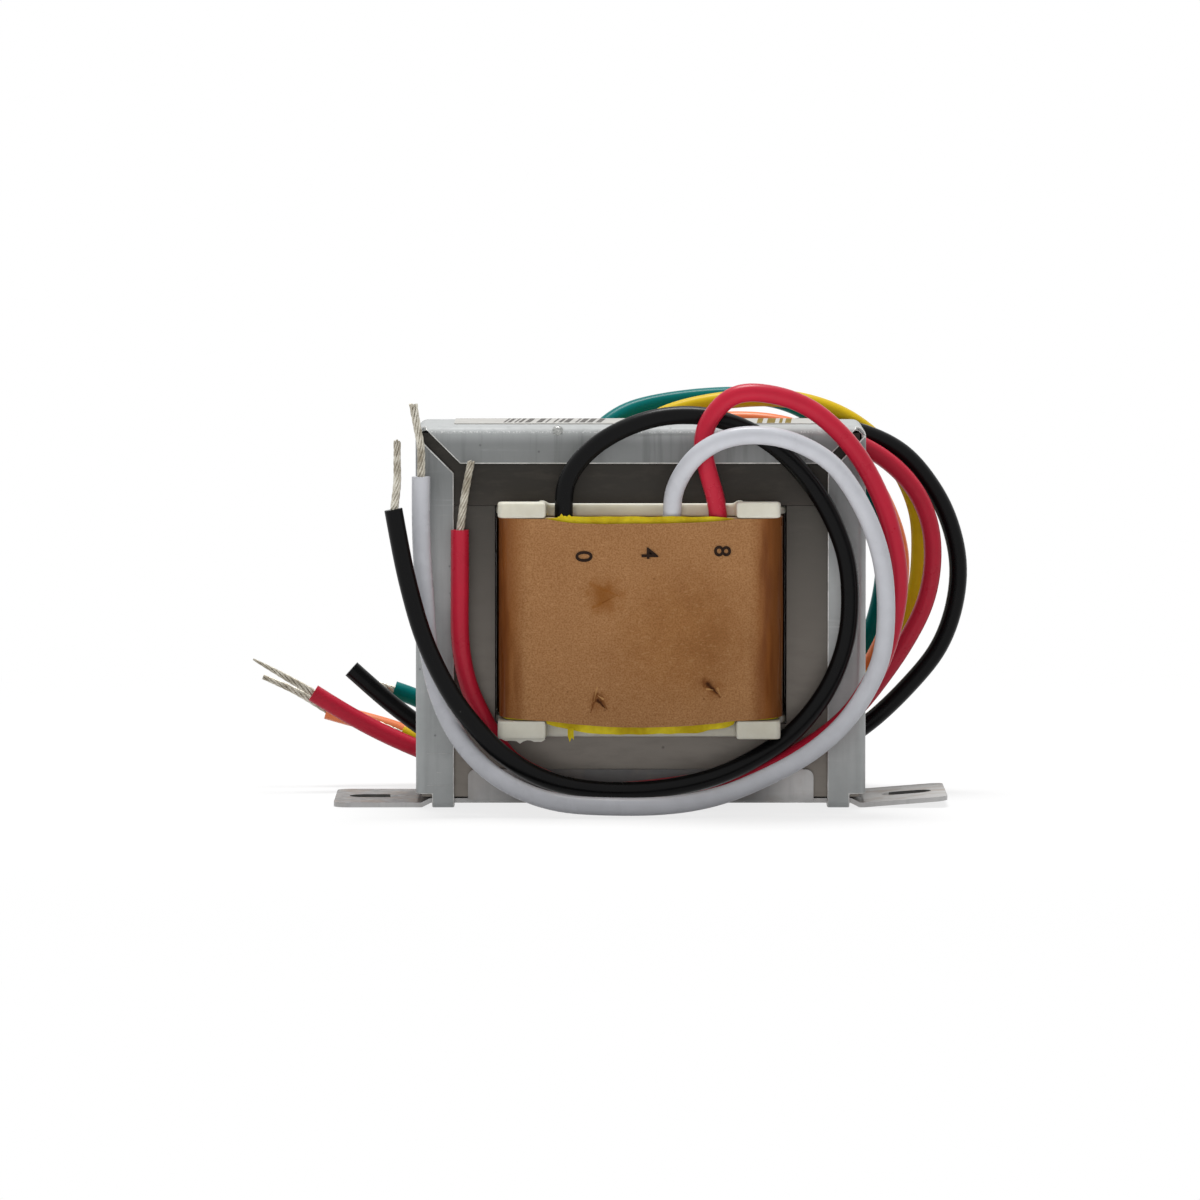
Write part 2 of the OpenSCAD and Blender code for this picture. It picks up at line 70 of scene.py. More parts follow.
# The photograph's camera, in millimetres, radians and pixels
CAMERA_PLACE = (-5.31, -1133.4, 106.8)
CAMERA_TILT = 0.0708
FOCAL_PX = 8645
FRAME_PX = 1200
SENSOR_MM = 36

# Leads, in millimetres, with the points of the part's source
LEAD_D = 2.4
CONDUCTOR_D = 1.1
STRAND_D = 0.37
OUTER_STRANDS = 6
STRAND_RINGS = ((OUTER_STRANDS, (CONDUCTOR_D - STRAND_D) / 2 * MM), (1, 0))
ROUTES = {
    "black_secondary": [
        (-10, -16.7, 32), (-10, -16.7, 39), (-9.5, -16, 43.5), (-5.5, -15.5, 48), (1, -15, 51),
        (7.5, -15, 51.5), (13, -15, 50), (18, -15, 47), (22.5, -15, 42), (25.5, -15, 36.5),
        (27, -15, 31), (27, -15, 24), (25.5, -15, 18.5), (23, -15, 14), (19.5, -15, 10),
        (15, -15.5, 7), (9.5, -16.5, 4.5), (2, -17.5, 3), (-6, -18.5, 3), (-12.5, -19.5, 4.5),
        (-17.5, -20.5, 7.5), (-21, -20.5, 11), (-24.5, -20.5, 15.5), (-28, -19.5, 22.5),
        (-30, -19.5, 29.5), (-31, -19, 34), (-32, -19, 39.5)],
    "white_secondary": [
        (4, -16.7, 32), (4, -16.7, 39), (4.5, -18, 42.5), (7, -20.5, 46.5), (11.5, -21, 49),
        (17.5, -20.5, 49), (22.5, -19.5, 47), (26, -19, 44), (29.5, -19, 38), (31.5, -19, 31),
        (31.5, -19, 22), (29.5, -19, 16.5), (26, -20, 11.5), (21, -21, 7.5), (15, -22, 4.5),
        (9.5, -23, 2.5), (3, -24, 1.5), (-5, -24.5, 1.5), (-11.5, -23.5, 2), (-18, -22, 4.5),
        (-23, -20, 9), (-26, -17.5, 14.5), (-27.5, -16, 20.5), (-28, -15, 27.5),
        (-28.5, -15, 35.5), (-28.5, -15, 43.5)],
    "red_secondary": [
        (10, -16.7, 32), (10, -16.7, 39), (9, -17, 43), (8, -17.5, 47), (8.5, -17.5, 50.5),
        (11.5, -17.5, 54), (15.5, -17, 54.5), (21, -16, 53), (25.5, -15.5, 49.5), (29, -15, 45),
        (32, -15, 38.5), (33.5, -15, 31), (33, -15, 25.5), (31.5, -15, 20), (28.5, -14.5, 14.5),
        (25.5, -13.5, 11), (20.5, -13.5, 7.5), (14.5, -13, 5), (7, -13, 3.5), (-1, -13, 2.5),
        (-8, -13, 2.5), (-13.5, -13, 4.5), (-17.5, -13, 7), (-20.5, -13, 12), (-22.5, -13, 16.5),
        (-23.5, -13.5, 22), (-23.5, -13.5, 29), (-23.5, -13.5, 36.5)],
    "green_primary": [
        (-9.5, 16.7, 32), (-9.5, 16.7, 39), (-9, 18.5, 43), (-6.5, 20.5, 46.5), (-3, 23, 49.5),
        (1.5, 25, 51), (9, 25.5, 52), (16.5, 25.5, 52), (21.5, 25.5, 50.5), (26, 25.5, 47.5),
        (29.5, 25.5, 43), (32, 25.5, 37), (33, 25.5, 30), (32, 25.5, 23), (29.5, 25.5, 16.5),
        (25.5, 25.5, 10.5), (20.5, 25.5, 5.5), (14, 25.5, 2.5), (6, 25.5, 1.5), (-2, 25.5, 1.5),
        (-10, 25.5, 1.5), (-16, 25.5, 2.5), (-21, 25.5, 5), (-25, 25.5, 8), (-29, 25.5, 11),
        (-33, 25.5, 12.5)],
    "yellow_primary": [
        (-5, 16.7, 32), (-5, 16.7, 39), (-4, 17.5, 43), (-1, 19, 47), (2.5, 19.5, 49.5),
        (7, 20, 51), (13.5, 20, 52), (19.5, 20, 52), (25.5, 20, 50.5), (30.5, 20, 47.5),
        (34.5, 20, 43), (37, 20, 37.5), (37.5, 20, 32.5), (37, 20, 26), (34.5, 20, 19.5),
        (31, 20, 14.5), (27, 20, 10), (21.5, 20, 5), (16, 20, 2.5), (9, 20, 1.5), (1, 20, 1.5),
        (-7, 20, 1.5), (-14, 20, 1.5), (-21, 20, 2.5), (-26.5, 20, 4.5), (-32, 20, 7)],
    "orange_primary": [
        (-0.5, 16.7, 32), (-0.5, 16.7, 39), (1, 18.5, 43), (4, 20, 46.5), (8.5, 22, 48.5),
        (13, 22.5, 49), (19, 22.5, 48.5), (24.5, 22.5, 46.5), (29.5, 22.5, 43), (33, 22.5, 37.5),
        (35, 22.5, 31), (34.5, 22.5, 25), (32.5, 22.5, 19), (29.5, 22.5, 14), (25.5, 22.5, 9.5),
        (20, 22.5, 5), (13.5, 22.5, 2), (6, 22.5, 1.5), (-2, 22.5, 1.5), (-10, 22.5, 1.5),
        (-17, 22.5, 2), (-23, 22.5, 3.5), (-28, 22.5, 5.5), (-33, 22.5, 7.5), (-38.5, 22.5, 9),
        (-42, 22.5, 10)],
    "red_primary": [
        (4, 16.7, 32), (4, 16.7, 39), (5, 16, 42.5), (8, 15, 46), (12.5, 14.5, 47.5),
        (18.5, 14.5, 48), (25.5, 14.5, 47.5), (31.5, 14.5, 45), (36, 14.5, 41), (38.5, 14.5, 36),
        (39, 14.5, 30.5), (38, 14.5, 25), (35.5, 14.5, 20), (32.5, 14.5, 15.5), (28.5, 14.5, 10.5),
        (23.5, 14.5, 6.5), (18, 14.5, 3.5), (12, 14.5, 2), (4, 14.5, 1.5), (-4, 14.5, 1.5),
        (-11.5, 14.5, 1.5), (-18, 14.5, 2.5), (-24, 14.5, 3.5), (-29.5, 14.5, 5.5),
        (-35, 14.5, 8), (-39.5, 14.5, 10.5), (-43.5, 14.5, 13)],
    "black_primary": [
        (8.5, 16.7, 32), (8.5, 16.7, 39), (10, 17, 43), (13, 17, 46), (18.5, 17, 48),
        (24.5, 17, 48.5), (30, 17, 47.5), (35, 17, 45), (38.5, 17, 41), (41, 17, 36.5),
        (42.5, 17, 30.5), (42, 17, 24.5), (40, 17, 19), (36.5, 17, 14.5), (31.5, 17, 9.5),
        (26.5, 17, 6), (21.5, 17, 3), (15.5, 17, 1.5), (8, 17, 1.5), (0, 17, 1.5), (-8, 17, 1.5),
        (-14.5, 17, 1.5), (-20, 17, 3), (-25, 17, 5.5), (-29.5, 17, 8.5), (-34, 17, 12),
        (-38.5, 17, 16)],
}
STRIPPED_ENDS = {
    "black_secondary": [(-31.5, -19, 43), (-31.5, -19, 46), (-31.5, -19, 48.5)],
    "white_secondary": [(-28.5, -15, 47), (-29, -15, 50), (-29.5, -15, 53)],
    "red_secondary": [(-23, -13.5, 40), (-22.5, -13.5, 43), (-22, -13.5, 45.5)],
    "green_primary": [(-36, 25.5, 13.5), (-39, 25.5, 14.5)],
    "yellow_primary": [(-35.5, 20, 8.5), (-39, 20, 10)],
    "orange_primary": [(-46, 22.5, 12.5), (-50.5, 22.5, 14.5)],
    "red_primary": [(-47, 14.5, 15), (-51.5, 14.5, 17.5)],
}
# How far a stripped end frays, and the share of its thickness that it loses by its end
USUAL_TIP = (0.1, 0.15)
TIP_SHAPES = {
    "white_secondary": (0.6, 0.15),
    "black_secondary": (0.2, 0.25),
    "red_primary": (0.0, 0.75),
    "orange_primary": (0.0, 0.4),
}

# The coil, in millimetres: half the width of a lead recess, how far out in y it starts, and the radius
# of the coil's upright edges
RECESS_HALF = 12.2
RECESS_FROM_Y = 15
COIL_EDGE_R = 4.0

# Marks on the front of the paper, in millimetres. Numbers are (text, x, z), creases are
# (start, end, width, rise) and stains are (x, z, radius, share, colour). Strokes run out to a point
# and are (start, end, width, share, colour); on the creases they paint brown stains, with painted
# highlights along the ridges and painted shadow beside them.
STAMPED_NUMBERS = (("0", -7.5, 33.4), ("4", 1.0, 33.8), ("8", 10.4, 34.1))
PAPER_CREASES = (
    ((-5.7, 15.7), (-6.4, 13.4), 0.2, 0.22),
    ((-5.5, 15.2), (-4.9, 13.9), 0.28, 0.34),
    ((8.9, 17.0), (10.0, 15.4), 0.3, 0.34),
    ((8.2, 16.6), (9.0, 16.9), 0.22, 0.24),
    ((-3.2, 28.4), (-5.7, 27.1), 0.3, 0.08),
    ((-6.6, 29.6), (-3.2, 28.4), 0.3, 0.05),
)
PAPER_STAINS = (
    (-4.9, 28.2, 3.4, 0.85, (0.23, 0.078, 0.012)),
    (-5.6, 14.6, 1.8, 0.5, (0.20, 0.068, 0.016)),
    (9.4, 16.2, 1.8, 0.5, (0.20, 0.068, 0.016)),
)
# Stroke colours: a painted highlight for the creases' ridges, brown stain with painted shade, painted shadow
# beside the creases, and an orange stain.
PAINTED_CREASE_HIGHLIGHT = (0.56, 0.31, 0.12)
BROWN_STAIN_AND_CREASE_SHADE = (0.15, 0.048, 0.012)
PAINTED_CREASE_SHADOW = (0.05, 0.016, 0.005)
ORANGE_STAIN = (0.25, 0.085, 0.013)
PAPER_STROKES = (
    ((-5.5, 15.3), (-4.4, 13.6), 1.1, 0.75, BROWN_STAIN_AND_CREASE_SHADE),
    ((-5.6, 14.8), (-4.7, 13.8), 0.75, 1.0, PAINTED_CREASE_SHADOW),
    ((-5.8, 15.6), (-6.5, 13.2), 0.8, 0.8, BROWN_STAIN_AND_CREASE_SHADE),
    ((-5.7, 16.4), (-6.1, 14.6), 0.34, 0.55, PAINTED_CREASE_HIGHLIGHT),
    ((-4.9, 14.9), (-5.6, 15.4), 0.3, 0.9, PAINTED_CREASE_HIGHLIGHT),
    ((8.2, 17.1), (10.2, 15.2), 1.5, 0.8, BROWN_STAIN_AND_CREASE_SHADE),
    ((8.7, 16.8), (9.9, 15.6), 0.8, 1.0, PAINTED_CREASE_SHADOW),
    ((9.9, 16.3), (10.3, 15.3), 0.4, 0.6, PAINTED_CREASE_HIGHLIGHT),
    ((8.5, 16.2), (9.3, 16.1), 0.4, 0.8, PAINTED_CREASE_HIGHLIGHT),
    ((-6.4, 29.8), (-2.8, 28.2), 0.9, 0.55, ORANGE_STAIN),
    ((-6.2, 26.8), (-3.0, 28.4), 0.6, 0.6, ORANGE_STAIN),
    ((-5.0, 27.4), (-3.2, 28.3), 0.2, 0.6, BROWN_STAIN_AND_CREASE_SHADE),
)

# Insulation colours, and the gloss of those that differ from the rest
PVC_COLOURS = {
    "black": (0.003, 0.003, 0.0033),
    "white": (0.59, 0.60, 0.64),
    "red": (0.53, 0.016, 0.042),
    "green": (0.001, 0.175, 0.172),
    "yellow": (0.76, 0.52, 0.012),
    "orange": (0.98, 0.28, 0.11),
}
PVC_GLOSS = {"black": 0.12, "green": 0.08, "yellow": 0.12}


# Small tools

def activate(obj):
    """Selects one object alone and makes it the active one."""
    bpy.ops.object.select_all(action="DESELECT")
    obj.select_set(True)
    bpy.context.view_layer.objects.active = obj


def just_made(name):
    """The object that an operator has just made, under its name."""
    obj = bpy.context.active_object
    obj.name = name
    return obj


def apply_modifier(obj, kind, **settings):
    activate(obj)
    modifier = obj.modifiers.new(kind.lower(), kind)
    for key, value in settings.items():
        setattr(modifier, key, value)
    bpy.ops.object.modifier_apply(modifier=modifier.name)


def smooth_shade(obj, degrees=35):
    activate(obj)
    bpy.ops.object.shade_smooth_by_angle(angle=math.radians(degrees))


def set_finishes(obj, *materials):
    obj.data.materials.clear()
    for material in materials:
        obj.data.materials.append(material)


def declare(obj, slot, *replaced):
    """Gives a piece its body and hides the nodes that it stands for; its slot is not used."""
    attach(obj, BODY)
    if replaced:
        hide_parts(*replaced)


def finish_piece(obj, material, slot, *replaced):
    set_finishes(obj, material)
    declare(obj, slot, *replaced)
    return obj


# Shader tools

def feed(tree, socket, value):
    """Links a socket to another one or sets its own value; a plain triple can be a colour."""
    if isinstance(value, bpy.types.NodeSocket):
        tree.links.new(value, socket)
    elif isinstance(value, tuple):
        socket.default_value = (*value, 1)[:len(socket.default_value)]
    else:
        socket.default_value = value


def add(tree, kind, inputs=None, **settings):
    """Adds a shader node; an input takes a value or another node's socket."""
    made = tree.nodes.new("ShaderNode" + kind)
    for key, value in settings.items():
        setattr(made, key, value)
    for key, value in (inputs or {}).items():
        feed(tree, made.inputs[key], value)
    return made


def mix_colour(tree, factor, first, second):
    """Mixes two colours; a Mix node's colour inputs are its sixth and seventh, counted from 0."""
    return add(tree, "Mix", {0: factor, 6: first, 7: second}, data_type="RGBA").outputs[2]


def math_node(tree, operation, first, second=None, clamp=False):
    values = {0: first}
    if second is not None:
        values[1] = second
    return add(tree, "Math", values, operation=operation, use_clamp=clamp).outputs[0]


def multiply(tree, first, *others):
    """The product of sockets and plain values."""
    product = first
    for value in others:
        product = math_node(tree, "MULTIPLY", product, value)
    return product


def vector_math(tree, operation, first, second, output="Value"):
    return add(tree, "VectorMath", {0: first, 1: second}, operation=operation).outputs[output]


def span(tree, value, low, high, to_low=0.0, to_high=1.0):
    """Maps a value from one span to another, smoothly and within its limits."""
    inputs = {0: value, 1: low, 2: high, 3: to_low, 4: to_high}
    return add(tree, "MapRange", inputs, interpolation_type="SMOOTHSTEP").outputs[0]


def between(tree, mask, at_0, at_1):
    """Maps a mask to run from one value at its 0 to another at its 1."""
    return span(tree, mask, 0.0, 1.0, at_0, at_1)


def object_coordinates(tree):
    return add(tree, "TexCoord").outputs["Object"]


def split_axes(tree, vector):
    return add(tree, "SeparateXYZ", {0: vector}).outputs


def noise_value(tree, place, scale, detail=3.0, roughness=0.5):
    inputs = {"Vector": place, "Scale": scale, "Detail": detail, "Roughness": roughness}
    return add(tree, "TexNoise", inputs).outputs[0]


def noise_mask(tree, place, scale, low, high, share=1.0, detail=3.0, roughness=0.5):
    """A mask from noise: 0 below a low value and its share above a high one."""
    return span(tree, noise_value(tree, place, scale, detail, roughness), low, high, to_high=share)


def stretched(tree, place, scale):
    return add(tree, "Mapping", {"Vector": place, "Scale": scale}).outputs[0]


def scaled(colour, factor):
    return tuple(c * factor for c in colour)


def new_group(name, inputs, outputs):
    """Starts a shader group: inputs are (name, kind, value), outputs are (name, kind)."""
    tree = bpy.data.node_groups.new(name, "ShaderNodeTree")
    for socket_name, kind, value in inputs:
        socket = tree.interface.new_socket(socket_name, in_out="INPUT", socket_type="NodeSocket" + kind)
        if value is not None:
            socket.default_value = value
    for socket_name, kind in outputs:
        tree.interface.new_socket(socket_name, in_out="OUTPUT", socket_type="NodeSocket" + kind)
    return tree, tree.nodes.new("NodeGroupInput").outputs, tree.nodes.new("NodeGroupOutput").inputs


def cloudy_tone_group():
    """Two tones that drift into each other, with a finer cloud on the large one."""
    fine_ratio = 6.0
    large_share = 0.65
    fine_share = 0.35
    tree, given, out = new_group(
        "cloudy_tone",
        [("Vector", "Vector", None), ("Scale", "Float", 100.0), ("Dark", "Color", None),
         ("Light", "Color", None), ("Contrast", "Float", 0.5)],
        [("Color", "Color"), ("Mask", "Float")])
    large = noise_value(tree, given["Vector"], given["Scale"], detail=2.0)
    fine_scale = multiply(tree, given["Scale"], fine_ratio)
    fine = noise_value(tree, given["Vector"], fine_scale, detail=4.0, roughness=0.6)
    both = math_node(tree, "ADD", multiply(tree, large, large_share), multiply(tree, fine, fine_share))
    half = multiply(tree, given["Contrast"], 0.5)
    low = multiply(tree, math_node(tree, "SUBTRACT", 1.0, half), 0.5)
    high = math_node(tree, "SUBTRACT", 1.0, low)
    mask = span(tree, both, low, high)
    tree.links.new(mask, out["Mask"])
    tree.links.new(mix_colour(tree, mask, given["Dark"], given["Light"]), out["Color"])
    return tree


def specks_group():
    """Small scattered dots."""
    tree, given, out = new_group(
        "specks",
        [("Vector", "Vector", None), ("Scale", "Float", 400.0), ("Size", "Float", 0.15),
         ("Share", "Float", 0.3)],
        [("Mask", "Float")])
    cells = add(tree, "TexVoronoi", {"Vector": given["Vector"], "Scale": given["Scale"]}).outputs
    chance = add(tree, "SeparateColor", {0: cells["Color"]}).outputs[0]
    chosen = math_node(tree, "LESS_THAN", chance, given["Share"])
    dot = span(tree, cells["Distance"], given["Size"], 0.0)
    tree.links.new(multiply(tree, dot, chosen), out["Mask"])
    return tree


def scuffs_group():
    """Fine rubbed lines along the vector's first axis, in patches."""
    patch_scale = 70.0
    tree, given, out = new_group(
        "scuffs",
        [("Vector", "Vector", None), ("Scale", "Float", 300.0), ("Amount", "Float", 0.4)],
        [("Mask", "Float")])
    drawn = stretched(tree, given["Vector"], (0.06, 1.0, 1.0))
    lines = noise_mask(tree, drawn, given["Scale"], low=0.58, high=0.72, detail=5.0, roughness=0.7)
    patches = noise_mask(tree, given["Vector"], patch_scale, low=0.45, high=0.65, detail=2.0)
    tree.links.new(multiply(tree, lines, patches, given["Amount"]), out["Mask"])
    return tree


def grain_group():
    """Fine surface relief over a slower one: a height for a bump."""
    slow_ratio = 0.08
    slow_share = 1.5
    tree, given, out = new_group(
        "grain",
        [("Vector", "Vector", None), ("Scale", "Float", 1500.0), ("Depth", "Float", 0.5)],
        [("Height", "Float")])
    fine = noise_value(tree, given["Vector"], given["Scale"], detail=5.0, roughness=0.65)
    slow_scale = multiply(tree, given["Scale"], slow_ratio)
    slow = noise_value(tree, given["Vector"], slow_scale, detail=2.0)
    height = math_node(tree, "ADD", fine, multiply(tree, slow, slow_share))
    tree.links.new(multiply(tree, height, given["Depth"]), out["Height"])
    return tree


def stroke_group():
    """A straight stroke that runs out to a point, uneven along its sides."""
    ragged_scale = 2500.0
    ragged_share = 0.8
    end_width = 0.25
    tree, given, out = new_group(
        "stroke",
        [("Vector", "Vector", None), ("Start", "Vector", None), ("Run", "Vector", None),
         ("Width", "Float", 0.001)],
        [("Mask", "Float")])
    away = vector_math(tree, "SUBTRACT", given["Vector"], given["Start"], "Vector")
    reach = vector_math(tree, "DOT_PRODUCT", away, given["Run"])
    whole = vector_math(tree, "DOT_PRODUCT", given["Run"], given["Run"])
    share = math_node(tree, "DIVIDE", reach, whole, clamp=True)
    nearest = add(tree, "VectorMath", {0: given["Run"], "Scale": share}, operation="SCALE").outputs[0]
    off = vector_math(tree, "DISTANCE", away, nearest)
    ragged = multiply(tree, noise_value(tree, given["Vector"], ragged_scale, detail=2.0), ragged_share)
    narrowed = multiply(tree, given["Width"], between(tree, share, 1.0, end_width))
    uneven = math_node(tree, "ADD", math_node(tree, "DIVIDE", off, narrowed), ragged)
    tree.links.new(span(tree, uneven, 1.0, 0.45), out["Mask"])
    return tree


GROUPS = {
    "stroke": stroke_group(),
    "cloudy_tone": cloudy_tone_group(),
    "specks": specks_group(),
    "scuffs": scuffs_group(),
    "grain": grain_group(),
}


def use_group(tree, name, inputs):
    return add(tree, "Group", inputs, node_tree=GROUPS[name]).outputs


def cloudy_tone(tree, place, scale, dark, light, contrast=0.8):
    inputs = {"Vector": place, "Scale": scale, "Dark": dark, "Light": light, "Contrast": contrast}
    return use_group(tree, "cloudy_tone", inputs)


def specks(tree, place, scale, size, share, strength):
    """A mask of dots: a share of the places of a scale hold one, of a size and a strength."""
    dots = use_group(tree, "specks", {"Vector": place, "Scale": scale, "Size": size, "Share": share})
    return multiply(tree, dots["Mask"], strength)


def new_material(name, **values):
    """A material with plain values set on its shader's own sockets."""
    material = bpy.data.materials.new(name)
    material.use_nodes = True
    shader = material.node_tree.nodes["Principled BSDF"]
    for key, value in values.items():
        shader.inputs[key.replace("_", " ")].default_value = value
    return material, material.node_tree, shader.inputs


def set_bump(tree, shader, height, distance):
    bump = add(tree, "Bump", {"Height": height, "Distance": distance})
    tree.links.new(bump.outputs[0], shader["Normal"])


def set_grain(tree, shader, place, scale, distance, depth=0.5):
    grain = use_group(tree, "grain", {"Vector": place, "Scale": scale, "Depth": depth})
    set_bump(tree, shader, grain["Height"], distance)


def clouded_material(name, scale, dark, light, contrast=0.8, roughness=None, **values):
    """A material in two drifting tones; roughness is its values on the dark and on the light one."""
    material, tree, shader = new_material(name, **values)
    place = object_coordinates(tree)
    tone = cloudy_tone(tree, place, scale, dark, light, contrast)
    tree.links.new(tone["Color"], shader["Base Color"])
    if roughness:
        tree.links.new(between(tree, tone["Mask"], *roughness), shader["Roughness"])
    return material, tree, shader, place


# Finishes

def pvc(colour_name):
    """Extruded insulation: satin, nearly even, with fine handling marks."""
    usual_gloss = 0.2
    dust_grey = (0.4, 0.39, 0.37)
    colour = PVC_COLOURS[colour_name]
    gloss = PVC_GLOSS.get(colour_name, usual_gloss)
    material, tree, shader = new_material(colour_name + "_pvc", IOR=1.5, Specular_IOR_Level=gloss)
    place = object_coordinates(tree)
    tone = cloudy_tone(tree, place, scale=90.0, dark=scaled(colour, 0.93), light=scaled(colour, 1.06))
    dust = specks(tree, place, scale=900.0, size=0.14, share=0.05, strength=0.12)
    tree.links.new(mix_colour(tree, dust, tone["Color"], dust_grey), shader["Base Color"])
    tree.links.new(between(tree, tone["Mask"], 0.26, 0.34), shader["Roughness"])
    set_grain(tree, shader, place, scale=900.0, distance=0.012 * MM)
    return material


def tinned_strands():
    """Tinned copper, duller where the tin is thin."""
    dull_tin = (0.34, 0.30, 0.23)
    bright_tin = (0.74, 0.71, 0.62)
    material, tree, shader, place = clouded_material(
        "tinned_strands", 600.0, dull_tin, bright_tin, roughness=(0.5, 0.32), Metallic=0.55)
    set_grain(tree, shader, place, scale=2500.0, distance=0.03 * MM)
    return material


def sheet_steel(name, dark, light, roughness, stain, top_shade, painted_top_tone, lead_shadow_share):
    """Coated sheet: clouded, streaked, rubbed and specked, with painted light where it faces up, painted
    shade towards the top, a painted highlight and glints at its top bend and a painted shadow of the leads in
    the middle.

    stain is a colour, its share and its scale; the top tones are the painted light on upward faces at the
    left and the right.
    """
    glint_grey = (0.9, 0.9, 0.89)
    speck_grey = (0.04, 0.04, 0.04)
    top_shade_heights = (30 * MM, 44 * MM)
    streak_heights = (38 * MM, 44 * MM)
    bend_heights = (47.3 * MM, 49.3 * MM)
    right_side = (24 * MM, 31 * MM)
    lead_shadow_span = (21 * MM, 13 * MM)
    stain_colour, stain_share, stain_scale = stain
    material, tree, shader = new_material(name, Specular_IOR_Level=0.3)
    place = object_coordinates(tree)
    axes = split_axes(tree, place)
    height = axes[2]
    tone = cloudy_tone(tree, place, scale=70.0, dark=dark, light=light)

    # Painted shade: darker towards the top.
    top_shade_mask = span(tree, height, *top_shade_heights, to_high=top_shade)
    top_shaded = mix_colour(tree, top_shade_mask, tone["Color"], scaled(dark, 0.4))
    # Painted highlight: lighter just below the top bend.
    bend_highlight_mask = span(tree, height, *bend_heights, to_high=0.5)
    bend_highlighted = mix_colour(tree, bend_highlight_mask, top_shaded, scaled(light, 1.4))
    drawn = stretched(tree, place, (1.0, 1.0, 0.07))
    streaks = noise_mask(tree, drawn, scale=900.0, low=0.48, high=0.72, roughness=0.6)
    streak_depth = span(tree, height, *streak_heights, to_low=0.12, to_high=0.3)
    streaked = mix_colour(tree, multiply(tree, streaks, streak_depth), bend_highlighted, scaled(dark, 0.2))
    scuffs = use_group(tree, "scuffs", {"Vector": place, "Scale": 700.0, "Amount": 0.25})
    rubbed = mix_colour(tree, scuffs["Mask"], streaked, scaled(light, 1.6))

    # Painted light on upward faces, with painted sparkle, and painted glints on the top bend.
    upward = split_axes(tree, add(tree, "NewGeometry").outputs["Normal"])[2]
    raised = span(tree, upward, 0.0, 0.75)
    sparkle = span(tree, noise_value(tree, place, scale=1100.0, detail=2.0), 0.35, 0.6, to_low=0.7)
    painted_upward_tone = mix_colour(tree, span(tree, axes[0], *right_side), *painted_top_tone)
    painted_upward_light = mix_colour(tree, multiply(tree, raised, 0.75, sparkle), rubbed, painted_upward_tone)
    on_bend = multiply(tree, span(tree, upward, 0.3, 0.45), span(tree, upward, 0.7, 0.5))
    glints = noise_mask(tree, place, scale=4200.0, low=0.5, high=0.66, share=0.5, detail=2.0)
    bright = mix_colour(tree, multiply(tree, on_bend, glints), painted_upward_light, glint_grey)

    # Painted shadow of the leads, darkening the middle of the sheet.
    from_middle = math_node(tree, "ABSOLUTE", axes[0])
    lead_shadow = span(tree, from_middle, *lead_shadow_span, to_high=lead_shadow_share)
    darkened_middle = mix_colour(tree, lead_shadow, bright, scaled(dark, 0.12))
    blots = noise_mask(tree, place, stain_scale, low=0.48, high=0.64, share=stain_share)
    stained = multiply(tree, blots, between(tree, raised, 0.3, 1.0))
    warmed = mix_colour(tree, stained, darkened_middle, stain_colour)
    dots = specks(tree, place, scale=520.0, size=0.13, share=0.2, strength=0.7)
    tree.links.new(mix_colour(tree, dots, warmed, speck_grey), shader["Base Color"])

    tree.links.new(between(tree, raised, 0.4, 0.1), shader["Metallic"])
    clouded = between(tree, tone["Mask"], roughness + 0.06, roughness - 0.05)
    dulling = multiply(tree, raised, 0.2)
    tree.links.new(math_node(tree, "ADD", clouded, dulling), shader["Roughness"])
    set_grain(tree, shader, place, scale=900.0, distance=0.015 * MM)
    return material


def sheared_metal_and_highlight():
    """Bare metal along the cut edges of the sheets, painted lighter as a highlight."""
    shaded = (0.50, 0.50, 0.48)
    shining = (0.88, 0.88, 0.86)
    return clouded_material("sheared_metal_and_highlight", 500.0, shaded, shining, roughness=(0.42, 0.28), Metallic=0.2)[0]


def core_steel(name, painted_top_tone, lower):
    """Varnished oxide skin on the stampings, with painted shade and painted reflection: darker towards the
    top, lighter towards the bottom, and a painted shadow just under the bracket's top flange.
    """
    speck_grey = (0.015, 0.015, 0.015)
    painted_shade_heights = (0.0, 61 * MM)
    flange_shadow_heights = (38 * MM, 43 * MM)
    cloud_height = 8 * MM
    material, tree, shader = new_material(name, Metallic=0.5, Specular_IOR_Level=0.2)
    place = object_coordinates(tree)
    height = split_axes(tree, place)[2]
    # Painted shade and painted reflection: the skin runs from the lighter bottom tone to the darker top tone.
    clouds = multiply(tree, noise_value(tree, place, scale=60.0), cloud_height)
    painted_shade_rise = span(tree, math_node(tree, "ADD", height, clouds), *painted_shade_heights)
    run = mix_colour(tree, painted_shade_rise, lower, painted_top_tone)
    # Painted shadow just under the bracket's top flange.
    painted_shadow_under_flange = span(tree, height, *flange_shadow_heights, to_high=0.5)
    skin = mix_colour(tree, painted_shadow_under_flange, run, painted_top_tone)
    drawn = stretched(tree, place, (0.3, 1.0, 1.0))
    fine = noise_value(tree, drawn, scale=700.0, detail=4.0, roughness=0.65)
    grained = mix_colour(tree, span(tree, fine, 0.45, 0.7, to_high=0.22), skin, scaled(lower, 0.55))
    dots = specks(tree, place, scale=350.0, size=0.12, share=0.06, strength=1.0)
    tree.links.new(mix_colour(tree, dots, grained, speck_grey), shader["Base Color"])
    tree.links.new(span(tree, fine, 0.3, 0.7, to_low=0.30, to_high=0.38), shader["Roughness"])
    set_grain(tree, shader, place, scale=1200.0, distance=0.012 * MM, depth=0.4)
    return material


